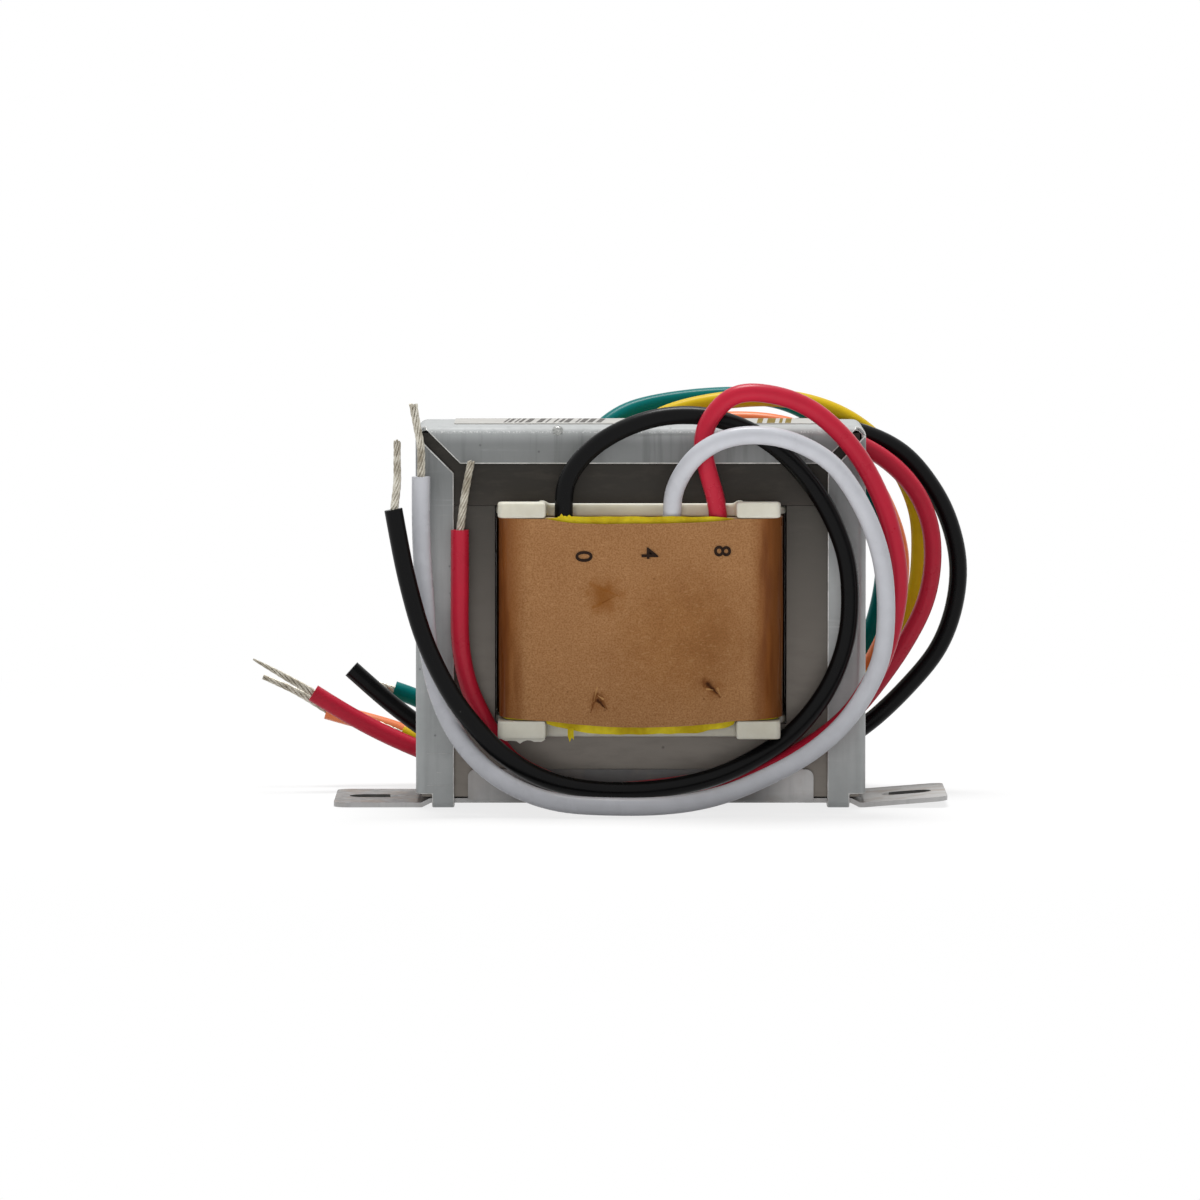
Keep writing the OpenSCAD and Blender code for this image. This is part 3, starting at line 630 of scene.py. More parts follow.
def nylon():
    """Moulded natural nylon: milky, a little translucent."""
    shaded = (0.63, 0.60, 0.50)
    milky = (0.73, 0.71, 0.61)
    material, tree, shader, place = clouded_material(
        "white_nylon", 120.0, shaded, milky, roughness=(0.46, 0.34),
        Subsurface_Weight=0.45, Subsurface_Scale=1.6 * MM, Subsurface_Radius=(1.0, 0.95, 0.8),
        IOR=1.52, Specular_IOR_Level=0.35)
    set_grain(tree, shader, place, scale=700.0, distance=0.02 * MM)
    return material


def spot_mask(tree, place, centre, radius, ragged):
    """1 at a centre in millimetres, falling to 0 at a ragged radius."""
    away = vector_math(tree, "DISTANCE", place, Vector(centre) * MM)
    uneven = multiply(tree, noise_value(tree, place, scale=700.0), ragged * MM)
    return span(tree, math_node(tree, "ADD", away, uneven), (radius + ragged / 2) * MM, ragged / 2 * MM)


def kraft_paper():
    """Brown wrap: fine grain, a middle darkened with dirt, varnish soaked in along its upright bends,
    and marks, among them painted highlights and painted shadows on the creases.
    """
    dark_brown = (0.265, 0.111, 0.035)
    light_brown = (0.375, 0.178, 0.066)
    pale_side = (0.455, 0.24, 0.108)
    mottle_brown = (0.20, 0.078, 0.022)
    grain_brown = (0.18, 0.070, 0.020)
    pale_fibre = (0.58, 0.33, 0.155)
    varnish_brown = (0.225, 0.070, 0.012)
    thick_varnish = (0.12, 0.030, 0.005)
    right_brown = (0.10, 0.032, 0.008)
    speck_brown = (0.11, 0.04, 0.014)
    bend_sides = (15.6 * MM, 19.0 * MM)
    right_bend_side = (16.2 * MM, 17.4 * MM)
    front_depths = (-12 * MM, -16 * MM)
    front = -node_span("paper_wrap", 1)[1]
    material, tree, shader = new_material("kraft_paper", Specular_IOR_Level=0.12)
    place = object_coordinates(tree)
    axes = split_axes(tree, place)

    tone = cloudy_tone(tree, place, scale=75.0, dark=dark_brown, light=light_brown, contrast=0.75)
    darkened_middle = spot_mask(tree, place, (5, front, 23), radius=14, ragged=6)
    paler = mix_colour(tree, span(tree, darkened_middle, 1.0, 0.0, to_high=0.6), tone["Color"], pale_side)
    mottles = noise_mask(tree, place, scale=2600.0, low=0.5, high=0.7, share=0.3, roughness=0.7)
    mottled = mix_colour(tree, mottles, paler, mottle_brown)
    fine = noise_value(tree, place, scale=4600.0, detail=2.0, roughness=0.6)
    grained = mix_colour(tree, span(tree, fine, 0.40, 0.64, to_high=0.45), mottled, grain_brown)
    along = stretched(tree, place, (0.4, 1.0, 1.0))
    fibres = noise_mask(tree, along, scale=4200.0, low=0.56, high=0.72, share=0.25, detail=2.0, roughness=0.6)
    flecked = mix_colour(tree, fibres, grained, pale_fibre)

    drawn = stretched(tree, place, (1.0, 1.0, 0.14))
    ragged = multiply(tree, noise_value(tree, drawn, scale=260.0, detail=4.0), 3.0 * MM)
    from_middle = math_node(tree, "ABSOLUTE", math_node(tree, "ADD", axes[0], 0.5 * MM))
    bends = span(tree, math_node(tree, "ADD", from_middle, ragged), *bend_sides)
    soaked = mix_colour(tree, multiply(tree, bends, 0.9), flecked, varnish_brown)
    deep = noise_mask(tree, drawn, scale=520.0, low=0.46, high=0.66, detail=2.0)
    streaked = mix_colour(tree, multiply(tree, deep, bends, 0.6), soaked, thick_varnish)
    right_bend = span(tree, axes[0], *right_bend_side, to_high=0.4)
    marked = mix_colour(tree, right_bend, streaked, right_brown)

    for x, z, radius, share, colour in PAPER_STAINS:
        spot = spot_mask(tree, place, (x, front, z), radius, ragged=radius)
        marked = mix_colour(tree, multiply(tree, spot, share), marked, colour)
    # The strokes paint stains, painted highlights on the creases' ridges and painted shadow beside them.
    flat = stretched(tree, place, (1.0, 0.0, 1.0))
    in_front = span(tree, axes[1], *front_depths)
    for start, end, width, share, colour in PAPER_STROKES:
        begin = (start[0] * MM, 0, start[1] * MM)
        run = ((end[0] - start[0]) * MM, 0, (end[1] - start[1]) * MM)
        stroke = use_group(tree, "stroke", {"Vector": flat, "Start": begin, "Run": run, "Width": width * MM})
        marked = mix_colour(tree, multiply(tree, stroke["Mask"], share, in_front), marked, colour)
    dots = specks(tree, place, scale=620.0, size=0.15, share=0.16, strength=0.55)
    tree.links.new(mix_colour(tree, dots, marked, speck_brown), shader["Base Color"])

    glazed = noise_mask(tree, drawn, scale=330.0, low=0.42, high=0.6, detail=2.0)
    tree.links.new(between(tree, multiply(tree, bends, glazed), 0.78, 0.26), shader["Roughness"])
    set_bump(tree, shader, fine, distance=0.025 * MM)
    return material


def yellow_tape():
    """Thin polyester film in fine upright folds."""
    dark_yellow = (0.44, 0.31, 0.004)
    light_yellow = (0.74, 0.60, 0.02)
    material, tree, shader, place = clouded_material(
        "yellow_tape", 260.0, dark_yellow, light_yellow, roughness=(0.38, 0.2),
        IOR=1.5, Subsurface_Weight=0.1, Subsurface_Scale=0.5 * MM, Specular_IOR_Level=0.12)
    folds = noise_value(tree, stretched(tree, place, (1.0, 1.0, 0.25)), scale=420.0)
    set_bump(tree, shader, folds, distance=0.12 * MM)
    return material


def plain_paper(name, dark, light):
    """Uncoated and matt: the label, the crepe padding and the shade in the slots."""
    material, tree, shader, place = clouded_material(name, 220.0, dark, light, contrast=0.7, Roughness=0.75)
    set_grain(tree, shader, place, scale=1800.0, distance=0.03 * MM)
    return material


def ink(name, colour):
    """Stamped or printed ink, worn thin in places."""
    worn = scaled(colour, 1.8)
    return clouded_material(name, 900.0, colour, worn, Roughness=0.7, Specular_IOR_Level=0.1)[0]


def enamelled_copper():
    """Turns of enamelled wire, as fine waves."""
    gap_brown = (0.20, 0.06, 0.02)
    wire_copper = (0.55, 0.22, 0.08)
    material, tree, shader = new_material("enamelled_copper", Metallic=0.6, Roughness=0.35)
    waves = {"Vector": object_coordinates(tree), "Scale": 900.0, "Distortion": 0.2}
    turns = add(tree, "TexWave", waves, bands_direction="Z").outputs[1]
    tree.links.new(mix_colour(tree, turns, gap_brown, wire_copper), shader["Base Color"])
    set_bump(tree, shader, turns, distance=0.05 * MM)
    return material


def clear_varnish():
    """A dried drop: clear, with a little haze and gloss."""
    hazy = (0.62, 0.62, 0.60)
    clear = (0.80, 0.80, 0.77)
    material, tree, shader, place = clouded_material(
        "clear_varnish", 1200.0, hazy, clear, IOR=1.48, Transmission_Weight=0.85)
    uneven = noise_value(tree, place, scale=900.0)
    tree.links.new(span(tree, uneven, 0.3, 0.7, to_low=0.10, to_high=0.2), shader["Roughness"])
    return material


# Camera, light and stage

def make_camera():
    turn = (math.pi / 2 - CAMERA_TILT, 0, 0)
    bpy.ops.object.camera_add(location=Vector(CAMERA_PLACE) * MM, rotation=turn)
    camera = just_made("photo_camera")
    camera.data.sensor_width = SENSOR_MM
    camera.data.lens = FOCAL_PX / FRAME_PX * SENSOR_MM
    camera.data.clip_start = 0.01
    bpy.context.scene.camera = camera


def seen_rays(tree):
    """1 for camera, glossy and transmission rays, which see the white surroundings."""
    rays = add(tree, "LightPath").outputs
    seen = math_node(tree, "MAXIMUM", rays["Is Camera Ray"], rays["Is Glossy Ray"])
    return math_node(tree, "MAXIMUM", seen, rays["Is Transmission Ray"])


def make_surroundings():
    """White world: full strength where it is seen, dimmer where it lights."""
    seen_strength = 1.0
    light_strength = 0.32
    world = bpy.data.worlds.new("studio")
    bpy.context.scene.world = world
    world.use_nodes = True
    tree = world.node_tree
    strength = between(tree, seen_rays(tree), light_strength, seen_strength)
    background = tree.nodes["Background"]
    background.inputs["Color"].default_value = (1, 1, 1, 1)
    tree.links.new(strength, background.inputs["Strength"])


def make_floor():
    """Pale floor that keeps a soft shadow near the object and is plain white farther out."""
    shadow_share = 0.22
    near = 60 * MM
    far = 220 * MM
    floor_size = 6
    clearance = 0.05 * MM
    lighting_grey = (0.4, 0.4, 0.4)
    seen_grey = (0.92, 0.92, 0.92)
    bpy.ops.mesh.primitive_plane_add(size=floor_size, location=(0, 0, -clearance))
    floor = just_made("floor")
    material = bpy.data.materials.new("pale_floor")
    material.use_nodes = True
    tree = material.node_tree
    tree.nodes.remove(tree.nodes["Principled BSDF"])
    seen = seen_rays(tree)
    matt_tone = mix_colour(tree, seen, lighting_grey, seen_grey)
    matt = add(tree, "BsdfDiffuse", {"Color": matt_tone})
    glow = add(tree, "Emission", {"Color": (1, 1, 1, 1), "Strength": 1.0})
    away = add(tree, "VectorMath", {0: object_coordinates(tree)}, operation="LENGTH").outputs["Value"]
    glow_share = span(tree, away, near, far, 1 - shadow_share, 1.0)
    share = multiply(tree, seen, glow_share)
    mixed = add(tree, "MixShader", {0: share, 1: matt.outputs[0], 2: glow.outputs[0]})
    tree.links.new(mixed.outputs[0], tree.nodes["Material Output"].inputs["Surface"])
    floor.data.materials.append(material)


def area_lamp(name, place, aim, width, height, power):
    bpy.ops.object.light_add(type="AREA", location=Vector(place))
    lamp = just_made(name)
    lamp.data.shape = "RECTANGLE"
    lamp.data.size = width
    lamp.data.size_y = height
    lamp.data.energy = power
    lamp.rotation_euler = (Vector(aim) - Vector(place)).to_track_quat("-Z", "Y").to_euler()
    return lamp


def make_lamps():
    """A broad light above and behind, a weak one in front and a low panel below the front."""
    area_lamp("top_lamp", place=(0.0, 0.25, 1.1), aim=(0, 0, 0.025), width=0.4, height=0.3, power=11.0)
    front = area_lamp("front_lamp", place=(-0.22, -1.2, 0.1), aim=(0, 0, 0.05),
                      width=0.5, height=0.1, power=2.4)
    panel = area_lamp("low_panel", place=(-0.04, -0.21, 0.002), aim=(-0.04, -0.21, 1.0),
                      width=0.5, height=0.3, power=0.6)
    for lamp in (front, panel):
        lamp.visible_glossy = False
        lamp.visible_camera = False


# Cords

def smooth_path(points, steps=6, eased=0):
    """A smooth curve through points in millimetres, as points in metres; easing evens out its bends."""
    padded = [points[0], *points, points[-1]]
    path = []
    for a, b, c, d in zip(padded, padded[1:], padded[2:], padded[3:]):
        a, b, c, d = (Vector(p) for p in (a, b, c, d))
        for step in range(steps):
            t = step / steps
            first = 2 * b + (c - a) * t
            second = (2 * a - 5 * b + 4 * c - d) * t ** 2
            third = (3 * b - a - 3 * c + d) * t ** 3
            path.append((first + second + third) * MM / 2)
    path.append(Vector(points[-1]) * MM)
    for _ in range(eased):
        middles = [(a + 2 * b + c) / 4 for a, b, c in zip(path, path[1:], path[2:])]
        path = [path[0], *middles, path[-1]]
    return path


def tubes(name, paths, radius, bevel_steps, taper=0.0):
    """Round tubes along paths, as one mesh; a taper is the share of radius lost by a tube's end."""
    data = bpy.data.curves.new(name, "CURVE")
    data.dimensions = "3D"
    data.bevel_depth = radius
    data.bevel_resolution = bevel_steps
    data.use_fill_caps = True
    for path in paths:
        spline = data.splines.new("POLY")
        spline.points.add(len(path) - 1)
        for i, (point, place) in enumerate(zip(spline.points, path)):
            point.co = (*place, 1)
            point.radius = 1 - taper * (i / (len(path) - 1)) ** 2
    obj = bpy.data.objects.new(name, data)
    bpy.context.scene.collection.objects.link(obj)
    activate(obj)
    bpy.ops.object.convert(target="MESH")
    return obj


def dish_cut_ends(obj, rim, depth):
    """Sinks the middle of each cut end a little inside its rim."""
    activate(obj)
    bpy.ops.object.mode_set(mode="EDIT")
    bpy.ops.mesh.select_all(action="DESELECT")
    bpy.ops.object.mode_set(mode="OBJECT")
    for face in obj.data.polygons:
        face.select = len(face.vertices) > 4
    bpy.ops.object.mode_set(mode="EDIT")
    bpy.ops.mesh.inset(thickness=rim, depth=-depth)
    bpy.ops.object.mode_set(mode="OBJECT")


def walk(path):
    """Each point of a path with the way along it and the distance walked."""
    walked = 0.0
    for i, point in enumerate(path):
        before = path[max(i - 1, 0)]
        after = path[min(i + 1, len(path) - 1)]
        walked += (point - before).length
        yield point, (after - before).normalized(), walked


def ring_side(along, angle):
    """The direction at an angle on a ring round the way along a conductor."""
    across = Vector((0, 1, 0)).cross(along).normalized()
    up = along.cross(across)
    return across * math.cos(angle) + up * math.sin(angle)


def strand_path(centre, turn, ring_radius, pitch, fray, taper, wander):
    """One strand twisted round a conductor's centre line; fray opens its free end, taper draws it in."""
    whole = sum((b - a).length for a, b in zip(centre, centre[1:]))
    fray_length = 3.5 * MM
    path = []
    for point, along, walked in walk(centre):
        angle = 2 * math.pi * (turn + walked / pitch)
        open_share = max(0.0, 1 - (whole - walked) / fray_length) ** 2
        radius = ring_radius * (1 + fray * open_share) * (1 - taper * (walked / whole) ** 2)
        path.append(point + ring_side(along, angle) * radius + wander * open_share)
    return path


def make_strands(name, fray, taper):
    """The stripped conductor of a lead: a ring of twisted strands round a straight one."""
    seat_depth = 0.4
    pitch = 6.5 * MM
    drift = 0.2 * MM
    lead_end = Vector(ROUTES[name][-1])
    before = Vector(ROUTES[name][-2])
    seat = lead_end + (before - lead_end).normalized() * seat_depth
    centre = smooth_path([tuple(seat), *STRIPPED_ENDS[name]], steps=10)
    paths = []
    for count, ring in STRAND_RINGS:
        for k in range(count):
            wander = Vector([random.uniform(-1, 1) for _ in range(3)]) * fray * drift
            trim = random.randint(0, 2) if fray else 0
            path = strand_path(centre, k / count, ring, pitch, fray, taper, wander)
            paths.append(path[:len(path) - trim])
    obj = tubes(name + "_strands", paths, STRAND_D * MM / 2, bevel_steps=2, taper=taper)
    smooth_shade(obj, 60)
    return finish_piece(obj, tinned, "tinned_wire", name + "_tip")


def make_lead(name):
    """A lead's insulation along its route, with its conductor."""
    cut_rim = 0.45 * MM
    cut_depth = 0.12 * MM
    colour = name.split("_")[0]
    path = smooth_path(ROUTES[name], eased=6)
    obj = tubes(name + "_insulation", [path], LEAD_D * MM / 2, bevel_steps=5)
    dish_cut_ends(obj, cut_rim, cut_depth)
    smooth_shade(obj)
    finish_piece(obj, pvc_finishes[colour], colour + "_pvc", name + "_lead")
    if name in STRIPPED_ENDS:
        conductor = make_strands(name, *TIP_SHAPES.get(name, USUAL_TIP))
    else:
        conductor = make_flush_conductor(name)


def make_flush_conductor(name):
    """Strand ends that show in a lead's cut face."""
    length = 1.5 * MM
    below_face = 0.05 * MM
    end = Vector(ROUTES[name][-1]) * MM
    back = (Vector(ROUTES[name][-2]) * MM - end).normalized()
    paths = []
    for count, ring in STRAND_RINGS:
        for k in range(count):
            side = ring_side(back, 2 * math.pi * k / count) * ring
            paths.append([end + back * length + side, end + back * below_face + side])
    obj = tubes(name + "_strands", paths, STRAND_D * MM / 2, bevel_steps=2)
    smooth_shade(obj, 60)
    return finish_piece(obj, tinned, "tinned_wire")


# Dressed pieces

def node_copy(node, name):
    """A copy of a node as one clean mesh, to be worked on."""
    same_place = 0.001 * MM
    activate(cad[node])
    bpy.ops.object.duplicate()
    obj = just_made(name)
    obj.data.name = name
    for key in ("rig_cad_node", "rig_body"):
        del obj[key]
    obj.parent = None
    bpy.ops.object.mode_set(mode="EDIT")
    bpy.ops.mesh.select_all(action="SELECT")
    bpy.ops.mesh.remove_doubles(threshold=same_place)
    bpy.ops.mesh.customdata_custom_splitnormals_clear()
    bpy.ops.object.mode_set(mode="OBJECT")
    return obj


def make_sheet_piece(node, name, finish, slot, clamped):
    """A folded sheet with bare metal along its sheared edges, painted lighter as a highlight, and painted
    shade on the walls of its slots.
    """
    flat_degrees = 0.5
    edge_degrees = 35
    sliver = 0.004 * MM
    edge_width = 0.14 * MM
    edge_finish = 1
    slot_finish = 2
    slot_from = 31.0 * MM
    slot_half = 2.3 * MM
    leaning = 0.5
    obj = node_copy(node, name)
    bpy.ops.object.mode_set(mode="EDIT")
    bpy.ops.mesh.remove_doubles(threshold=sliver)
    bpy.ops.mesh.dissolve_degenerate(threshold=sliver)
    bpy.ops.mesh.select_all(action="SELECT")
    bpy.ops.mesh.dissolve_limited(angle_limit=math.radians(flat_degrees))
    bpy.ops.object.mode_set(mode="OBJECT")
    set_finishes(obj, finish, edge_metal_and_highlight, slot_shade)
    apply_modifier(obj, "BEVEL", width=edge_width, segments=2, limit_method="ANGLE", material=edge_finish,
                   angle_limit=math.radians(edge_degrees), use_clamp_overlap=clamped)
    for face in obj.data.polygons:
        in_slot = abs(face.center.x) > slot_from and abs(face.center.y) < slot_half
        upright = abs(face.normal.z) < leaning
        faces_out = face.normal.x * face.center.x >= leaning * abs(face.center.x)
        if in_slot and upright and not faces_out:
            face.material_index = slot_finish
    smooth_shade(obj, edge_degrees)
    apply_modifier(obj, "WEIGHTED_NORMAL", keep_sharp=True)
    declare(obj, slot, node)


def eased_step(value, start, end):
    """0 up to a start, 1 from an end, and smooth in between."""
    t = min(1.0, max(0.0, (value - start) / (end - start)))
    return t * t * (3 - 2 * t)


def make_bobbin():
    """The bobbin with soft edges: it swells to fit the windows, and its right front is a little short."""
    core_front = 10.0
    swell = 0.36
    shortfall = 0.5
    voxel = 0.25 * MM
    obj = node_copy("bobbin", "bobbin_moulding")
    side = node_span("bobbin", 0)[1]
    side_from = side - 3.5
    side_to = side - 1.0
    apply_modifier(obj, "REMESH", mode="VOXEL", voxel_size=voxel)
    apply_modifier(obj, "SMOOTH", factor=0.5, iterations=5)
    for vertex in obj.data.vertices:
        x, y, z = vertex.co / MM
        outer = eased_step(abs(x), side_from, side_to)
        inside = 1 - eased_step(abs(y), core_front - 1.0, core_front - 0.2)
        x += math.copysign(swell * outer * inside, x)
        if x > 0:
            x -= shortfall * outer * eased_step(-y, core_front, core_front + 1.0)
        vertex.co = Vector((x, y, z)) * MM
    apply_modifier(obj, "DECIMATE", ratio=0.4)
    smooth_shade(obj, 60)
    finish_piece(obj, white_nylon, "white_nylon", "bobbin")


def ring_point(distance, half_x, half_y, radius):
    """Place and outward direction on a rounded rectangle, walked from the middle of its rear side."""
    flat_x = half_x - radius
    flat_y = half_y - radius
    arc = math.pi * radius / 2
    stretches = [flat_x, arc, 2 * flat_y, arc, 2 * flat_x, arc, 2 * flat_y, arc, flat_x]
    left = distance % sum(stretches)
    angle = math.pi / 2
    place = Vector((0, half_y))
    for i, length in enumerate(stretches):
        step = min(left, length)
        outward = Vector((math.cos(angle), math.sin(angle)))
        if i % 2 == 0:
            place = place + Vector((-outward.y, outward.x)) * step
        else:
            centre = place - outward * radius
            angle += step / radius
            outward = Vector((math.cos(angle), math.sin(angle)))
            place = centre + outward * radius
        left -= step
        if left <= 0:
            break
    return place, outward


def closer_in_front(share, whole, lap):
    """Distance along a wrap for a share of its columns, half of which lie on the front."""
    front = 30.0
    marks = ((0.0, 0.0), (0.25, (whole - front) / 2), (0.75, (whole + front) / 2), (1.0, whole + lap))
    for (share_0, distance_0), (share_1, distance_1) in zip(marks, marks[1:]):
        if share <= share_1:
            break
    return distance_0 + (share - share_0) / (share_1 - share_0) * (distance_1 - distance_0)


def wrapped_sheet(name, half_x, half_y, radius, lap, thickness, rows, low_edge, high_edge, relief):
    """A sheet wound once round the coil, with its end lapped over its start at the rear."""
    columns = 300
    lap_ramp = 1.5
    lap_lift = 1.3 * thickness
    whole = 4 * (half_x + half_y) - 8 * radius + 2 * math.pi * radius
    bpy.ops.mesh.primitive_grid_add(x_subdivisions=columns, y_subdivisions=rows, size=1)
    obj = just_made(name)
    obj.data.name = name
    for vertex in obj.data.vertices:
        distance = closer_in_front(vertex.co.x + 0.5, whole, lap)
        place, outward = ring_point(distance, half_x, half_y, radius)
        over_start = min(1.0, max(0.0, (distance - whole + lap_ramp) / lap_ramp))
        lift = over_start * lap_lift
        low = low_edge(place.x, place.y)
        height = low + (vertex.co.y + 0.5) * (high_edge(place.x, place.y) - low)
        lift += relief(place.x, place.y, height)
        place = place + outward * lift
        vertex.co = Vector((place.x, place.y, height)) * MM
    activate(obj)
    bpy.ops.object.mode_set(mode="EDIT")
    bpy.ops.mesh.select_all(action="SELECT")
    bpy.ops.mesh.normals_make_consistent(inside=False)
    bpy.ops.object.mode_set(mode="OBJECT")
    outside = sum(face.normal.x * face.center.x + face.normal.y * face.center.y for face in obj.data.polygons)
    if outside < 0:
        obj.data.flip_normals()
    apply_modifier(obj, "SOLIDIFY", thickness=thickness * MM, offset=-1.0)
    smooth_shade(obj, 50)
    return obj


def node_span(name, axis):
    """Lowest and highest place of a node along an axis, in millimetres."""
    low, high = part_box(name)
    return low[axis] / MM, high[axis] / MM


def in_recess(x, y):
    return abs(x) < RECESS_HALF and abs(y) > RECESS_FROM_Y


def wave(x, y, z, size, seed):
    """Smooth unevenness between -1 and 1; size is in millimetres."""
    return noise.noise(Vector((x / size + seed, y / size, z / size)))


def crease_height(x, z, start, end, width):
    """1 on a straight crease between two points, falling off over its width."""
    run = Vector((end[0] - start[0], end[1] - start[1]))
    away = Vector((x - start[0], z - start[1]))
    along = min(1.0, max(0.0, away.dot(run) / run.length_squared))
    return math.exp(-((away - run * along).length / width) ** 2)


def make_paper():
    """Brown paper wrap: bellied in the windows, sagging in the recesses, creased in three places in front."""
    low, high = node_span("paper_wrap", 2)
    half_x = node_span("paper_wrap", 0)[1]
    half_y = node_span("paper_wrap", 1)[1]
    lower_flange = low + 0.35
    upper_flange = high + 0.55
    low_gap = 0.05
    high_gap = 0.07
    side_curl = 0.3
    low_sag = 0.85
    high_sag = 0.62
    sag_slope = 0.012
    ripple = 0.05
    window_half = 9.8
    window_from = half_x - 0.6
    belly = 0.46
    inset = 0.05

    def low_edge(x, y):
        if not in_recess(x, y):
            on_face = abs(y) > RECESS_FROM_Y
            curl = side_curl * eased_step(abs(x), RECESS_HALF, half_x) if on_face else side_curl
            return lower_flange + low_gap + curl
        sag = low_sag * (1 - (x / RECESS_HALF) ** 2)
        return lower_flange + low_gap - sag + 0.06 * wave(x, y, 0, size=3.0, seed=3.0)

    def high_edge(x, y):
        if not in_recess(x, y):
            return upper_flange - high_gap
        sag = (high_sag - sag_slope * x) * (1 - (x / RECESS_HALF) ** 4)
        return upper_flange - high_gap - sag + ripple * wave(x, y, 0, size=3.0, seed=9.0)

    def relief(x, y, z):
        if abs(x) > window_from and abs(y) < window_half:
            return belly * math.cos(math.pi * y / (2 * window_half))
        lift = ripple * wave(x, y, z, size=9.0, seed=1.0) - ripple
        if y < 0:
            for start, end, width, rise in PAPER_CREASES:
                lift += rise * crease_height(x, z, start, end, width)
        return lift

    obj = wrapped_sheet("paper_sheet", half_x - inset, half_y - inset, radius=COIL_EDGE_R + 0.9, lap=9.0,
                        thickness=0.3, rows=120, low_edge=low_edge, high_edge=high_edge, relief=relief)
    finish_piece(obj, kraft, "kraft_paper", "paper_wrap")


def make_tape():
    """Yellow tape under the paper, with uneven edges in the two lead recesses."""
    low, high = node_span("outer_tape", 2)
    half_x = node_span("outer_tape", 0)[1]
    half_y = node_span("outer_tape", 1)[1]
    lower_flange = low + 1.6
    upper_flange = high - 0.3
    gap = 0.1
    level_half = 5.0
    end_rise = 1.4
    low_ripple = 0.2
    showing = 0.22
    end_fall = 0.25
    high_ripple = 0.1
    crinkle = 0.06
    inset = 0.03

    def low_edge(x, y):
        if not in_recess(x, y):
            return lower_flange + gap
        rise = max(0.0, (abs(x) - level_half) / (RECESS_HALF - level_half)) ** 2
        ragged = low_ripple * wave(x, y, 0, size=2.0, seed=7.0)
        return min(lower_flange, low - gap + end_rise * rise + ragged)

    def high_edge(x, y):
        if not in_recess(x, y):
            return upper_flange - gap
        taper = (abs(x) / RECESS_HALF) ** 6
        ragged = high_ripple * wave(x, y, 0, size=2.6, seed=2.0)
        return upper_flange + showing - end_fall * taper + ragged

    def relief(x, y, z):
        return crinkle * wave(x, y, z, size=1.6, seed=4.0) - crinkle

    obj = wrapped_sheet("tape_sheet", half_x - inset, half_y - inset, radius=COIL_EDGE_R + 0.3, lap=6.0,
                        thickness=0.12, rows=40, low_edge=low_edge, high_edge=high_edge, relief=relief)
    finish_piece(obj, tape, "yellow_tape", "outer_tape")


def ragged_scrap(name, left, width, top, drops, y, lean, thickness, material, slot):
    """A thin scrap that hangs from its top edge; drops are the lengths of its ragged lower points."""
    bpy.ops.mesh.primitive_grid_add(x_subdivisions=len(drops) - 1, y_subdivisions=3, size=1)
    obj = just_made(name)
    obj.data.name = name
    for vertex in obj.data.vertices:
        step = round((vertex.co.x + 0.5) * (len(drops) - 1))
        down = (0.5 - vertex.co.y) * drops[step]
        vertex.co = Vector((left + (vertex.co.x + 0.5) * width, y + lean * down, top - down)) * MM
    apply_modifier(obj, "SOLIDIFY", thickness=thickness * MM, offset=0.0)
    smooth_shade(obj, 40)
    finish_piece(obj, material, slot)


def make_scraps():
    """Flash under one block of the bobbin and two loose ends of tape."""
    block_low = node_span("bobbin", 2)[0]
    bobbin_front = node_span("bobbin", 1)[0]
    tape_front = node_span("outer_tape", 1)[0]
    tape_low, tape_high = node_span("outer_tape", 2)
    flash = (0.1, 0.3, 0.26, 0.28, 0.32, 0.66, 0.34, 0.2, 0.24, 0.42, 0.4, 0.42, 0.1)
    hanging = (1.0, 1.8, 1.2, 1.5)
    raised = (-0.05, -0.12, -0.5, -0.15, -0.2, -0.1, -0.36, -0.12, -0.05)
    ragged_scrap("bobbin_flash", left=-18.0, width=5.6, top=block_low + 0.1, drops=flash,
                 y=bobbin_front + 0.35, lean=0.1, thickness=0.2, material=white_nylon, slot="white_nylon")
    ragged_scrap("hanging_tape_end", left=-9.5, width=0.8, top=tape_low + 0.7, drops=hanging,
                 y=tape_front - 0.1, lean=-0.2, thickness=0.08, material=tape, slot="yellow_tape")
    ragged_scrap("raised_tape_end", left=-10.8, width=2.0, top=tape_high - 0.2, drops=raised,
                 y=tape_front + 0.1, lean=0.5, thickness=0.08, material=tape, slot="yellow_tape")


def stamped_number(text, x, z):
    """A number stamped on the front of the paper, turned a quarter to the right."""
    height = 3.0 * MM
    ink_thickness = 0.02
    boldness = 0.045 * MM
    front = -node_span("paper_wrap", 1)[1] - ink_thickness
    bpy.ops.object.text_add(location=(x * MM, front * MM, z * MM), rotation=(math.pi / 2, math.pi / 2, 0))
    obj = bpy.context.active_object
    obj.data.body = text
    obj.data.size = height
    obj.data.extrude = ink_thickness * MM
    obj.data.offset = boldness
    obj.data.align_x = "CENTER"
    obj.data.align_y = "CENTER"
    bpy.ops.object.convert(target="MESH")
    bpy.ops.object.transform_apply(location=True, rotation=True, scale=True)
    obj.name = "stamped_" + text
    finish_piece(obj, stamp_ink, "kraft_paper")


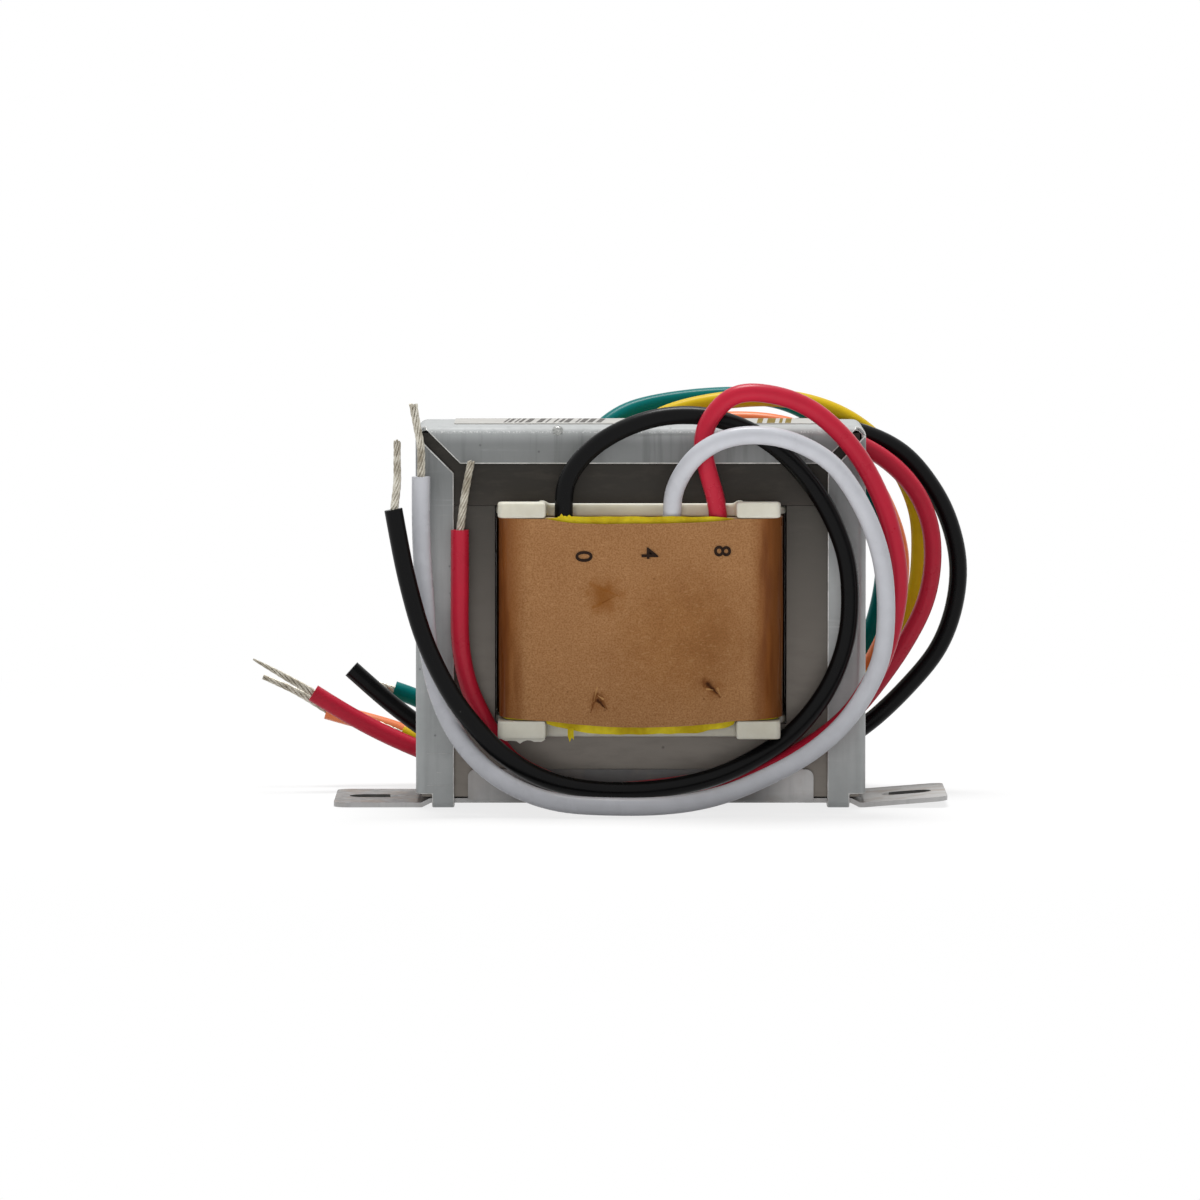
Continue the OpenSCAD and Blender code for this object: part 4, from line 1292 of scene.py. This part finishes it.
def make_label_print():
    """Plain bars printed on the label: a run of uneven grey ones and a few broad ones."""
    widths = (0.25, 0.4, 0.7)
    gaps = (0.3, 0.45, 0.8)
    fine_from = -18.0
    fine_to = -5.5
    raised_by = 0.02
    top = node_span("label", 2)[1]
    fine = []
    x = fine_from
    while x < fine_to:
        width = random.choice(widths)
        fine.append((x, width))
        x += width + random.choice(gaps)
    broad = [(15.2, 0.7), (16.5, 1.05), (18.1, 0.4), (18.9, 0.75)]

    def boxes(places, front, rear):
        return [((x, front, top), (x + width, rear, top + raised_by)) for x, width in places]

    fine_boxes = boxes(fine, front=-1.5, rear=8.5)
    broad_boxes = boxes(broad, front=-3.0, rear=8.9)
    make_bars("label_fine_bars", fine_boxes, bar_ink, "label_paper", slant=0.065)
    make_bars("label_broad_bars", broad_boxes, gold_ink, "label_paper", slant=0.035)


def make_scribed_lines():
    """Fine light lines scribed across the foot of the left flange."""
    raised_by = 0.01
    line_width = 0.06
    front = node_span("channel_bracket", 1)[0]
    lines = []
    for z, left, right in ((7.1, -27.9, -24.5), (4.6, -26.6, -25.8), (2.9, -27.9, -24.5)):
        lines.append(((left, front - raised_by, z), (right, front, z + line_width)))
    make_bars("scribed_lines", lines, scribe_grey, "galvanised_sheet")


def make_bars(name, boxes, material, slot, slant=0.0):
    """Thin flat bars between pairs of corners, as one piece; a slant leans them as they run back."""
    made = []
    for low, high in boxes:
        low = Vector(low) * MM
        high = Vector(high) * MM
        bpy.ops.mesh.primitive_cube_add(size=1, location=(low + high) / 2)
        bar = bpy.context.active_object
        bar.scale = high - low
        bpy.ops.object.transform_apply(location=True, rotation=True, scale=True)
        for vertex in bar.data.vertices:
            vertex.co.x += slant * (vertex.co.y - low.y)
        made.append(bar)
    bpy.ops.object.select_all(action="DESELECT")
    for bar in made:
        bar.select_set(True)
    bpy.context.view_layer.objects.active = made[0]
    bpy.ops.object.join()
    finish_piece(just_made(name), material, slot)


def make_varnish_drop():
    """A drop that dried on the top bend."""
    bend_r = 1.3
    drop_r = 0.7
    drop_x = -10.8
    drop_shape = (1.0, 1.15, 0.35)
    top = node_span("channel_bracket", 2)[1]
    front = node_span("channel_bracket", 1)[0]
    slope = math.radians(50)
    out = Vector((0, -math.sin(slope), math.cos(slope)))
    bpy.ops.mesh.primitive_uv_sphere_add(segments=24, ring_count=12, radius=drop_r * MM)
    obj = just_made("varnish_drop")
    obj.scale = drop_shape
    obj.rotation_euler = (slope, 0, 0)
    obj.location = (Vector((drop_x, front + bend_r, top - bend_r)) + out * bend_r) * MM
    bpy.ops.object.transform_apply(location=True, rotation=True, scale=True)
    smooth_shade(obj, 80)
    finish_piece(obj, varnish, "galvanised_sheet")


# Build: camera and cords first
make_camera()
tinned = tinned_strands()
pvc_finishes = {name: pvc(name) for name in PVC_COLOURS}
for lead_name in ROUTES:
    make_lead(lead_name)

make_surroundings()
make_floor()
make_lamps()

# The sheets' tones for upward faces are painted light, darker everywhere on the tinned sheet but its right
# foot; painted shade darkens the galvanised sheet towards the top, and a painted shadow of the leads darkens
# the tinned sheet's middle.
painted_zinc_top = (0.46, 0.473, 0.47)
galvanised = sheet_steel(
    "galvanised_sheet", dark=(0.335, 0.35, 0.351), light=(0.40, 0.416, 0.416), roughness=0.42,
    stain=((0.26, 0.25, 0.23), 0.15, 45.0), top_shade=0.68, painted_top_tone=(painted_zinc_top, painted_zinc_top), lead_shadow_share=0.0)
tin_plate = sheet_steel(
    "tinned_sheet", dark=(0.43, 0.425, 0.42), light=(0.54, 0.535, 0.53), roughness=0.38,
    stain=((0.28, 0.222, 0.175), 0.5, 330.0), top_shade=0.0,
    painted_top_tone=((0.125, 0.122, 0.119), (0.42, 0.415, 0.40)), lead_shadow_share=0.8)
edge_metal_and_highlight = sheared_metal_and_highlight()
slot_shade = plain_paper("slot_shade", dark=(0.035, 0.034, 0.032), light=(0.08, 0.078, 0.074))
# The core's top and bottom tones are painted shade and painted reflection.
e_finish = core_steel("e_core_steel", painted_top_tone=(0.026, 0.025, 0.022), lower=(0.215, 0.194, 0.171))
i_finish = core_steel("i_core_steel", painted_top_tone=(0.026, 0.024, 0.021), lower=(0.16, 0.138, 0.118))
white_nylon = nylon()
kraft = kraft_paper()
tape = yellow_tape()
crepe = plain_paper("crepe_paper", dark=(0.40, 0.28, 0.15), light=(0.52, 0.38, 0.22))
label_paper = plain_paper("label_paper", dark=(0.46, 0.45, 0.425), light=(0.53, 0.52, 0.49))
copper = enamelled_copper()
scribe_grey = ink("scribe_grey", (0.32, 0.325, 0.32))
stamp_ink = ink("stamp_ink", (0.016, 0.009, 0.006))
bar_ink = ink("bar_ink", (0.09, 0.085, 0.08))
gold_ink = ink("gold_ink", (0.15, 0.105, 0.018))
varnish = clear_varnish()

set_finishes(cad["e_laminations"], e_finish)
set_finishes(cad["i_laminations"], i_finish)
for node_name in ("primary_winding", "secondary_winding"):
    set_finishes(cad[node_name], copper)
set_finishes(cad["interwinding_tape"], tape)
set_finishes(cad["lead_padding"], crepe)
set_finishes(cad["label"], label_paper)

make_sheet_piece("channel_bracket", "bracket_shell", galvanised, "galvanised_sheet", clamped=False)
make_sheet_piece("base_plate", "base_shell", tin_plate, "tinned_sheet", clamped=True)
make_bobbin()
make_paper()
make_tape()
make_scraps()
for stamped_text, stamp_x, stamp_z in STAMPED_NUMBERS:
    stamped_number(stamped_text, stamp_x, stamp_z)
make_label_print()
make_scribed_lines()
make_varnish_drop()

bpy.context.scene.view_settings.view_transform = "Standard"
bpy.context.view_layer.update()
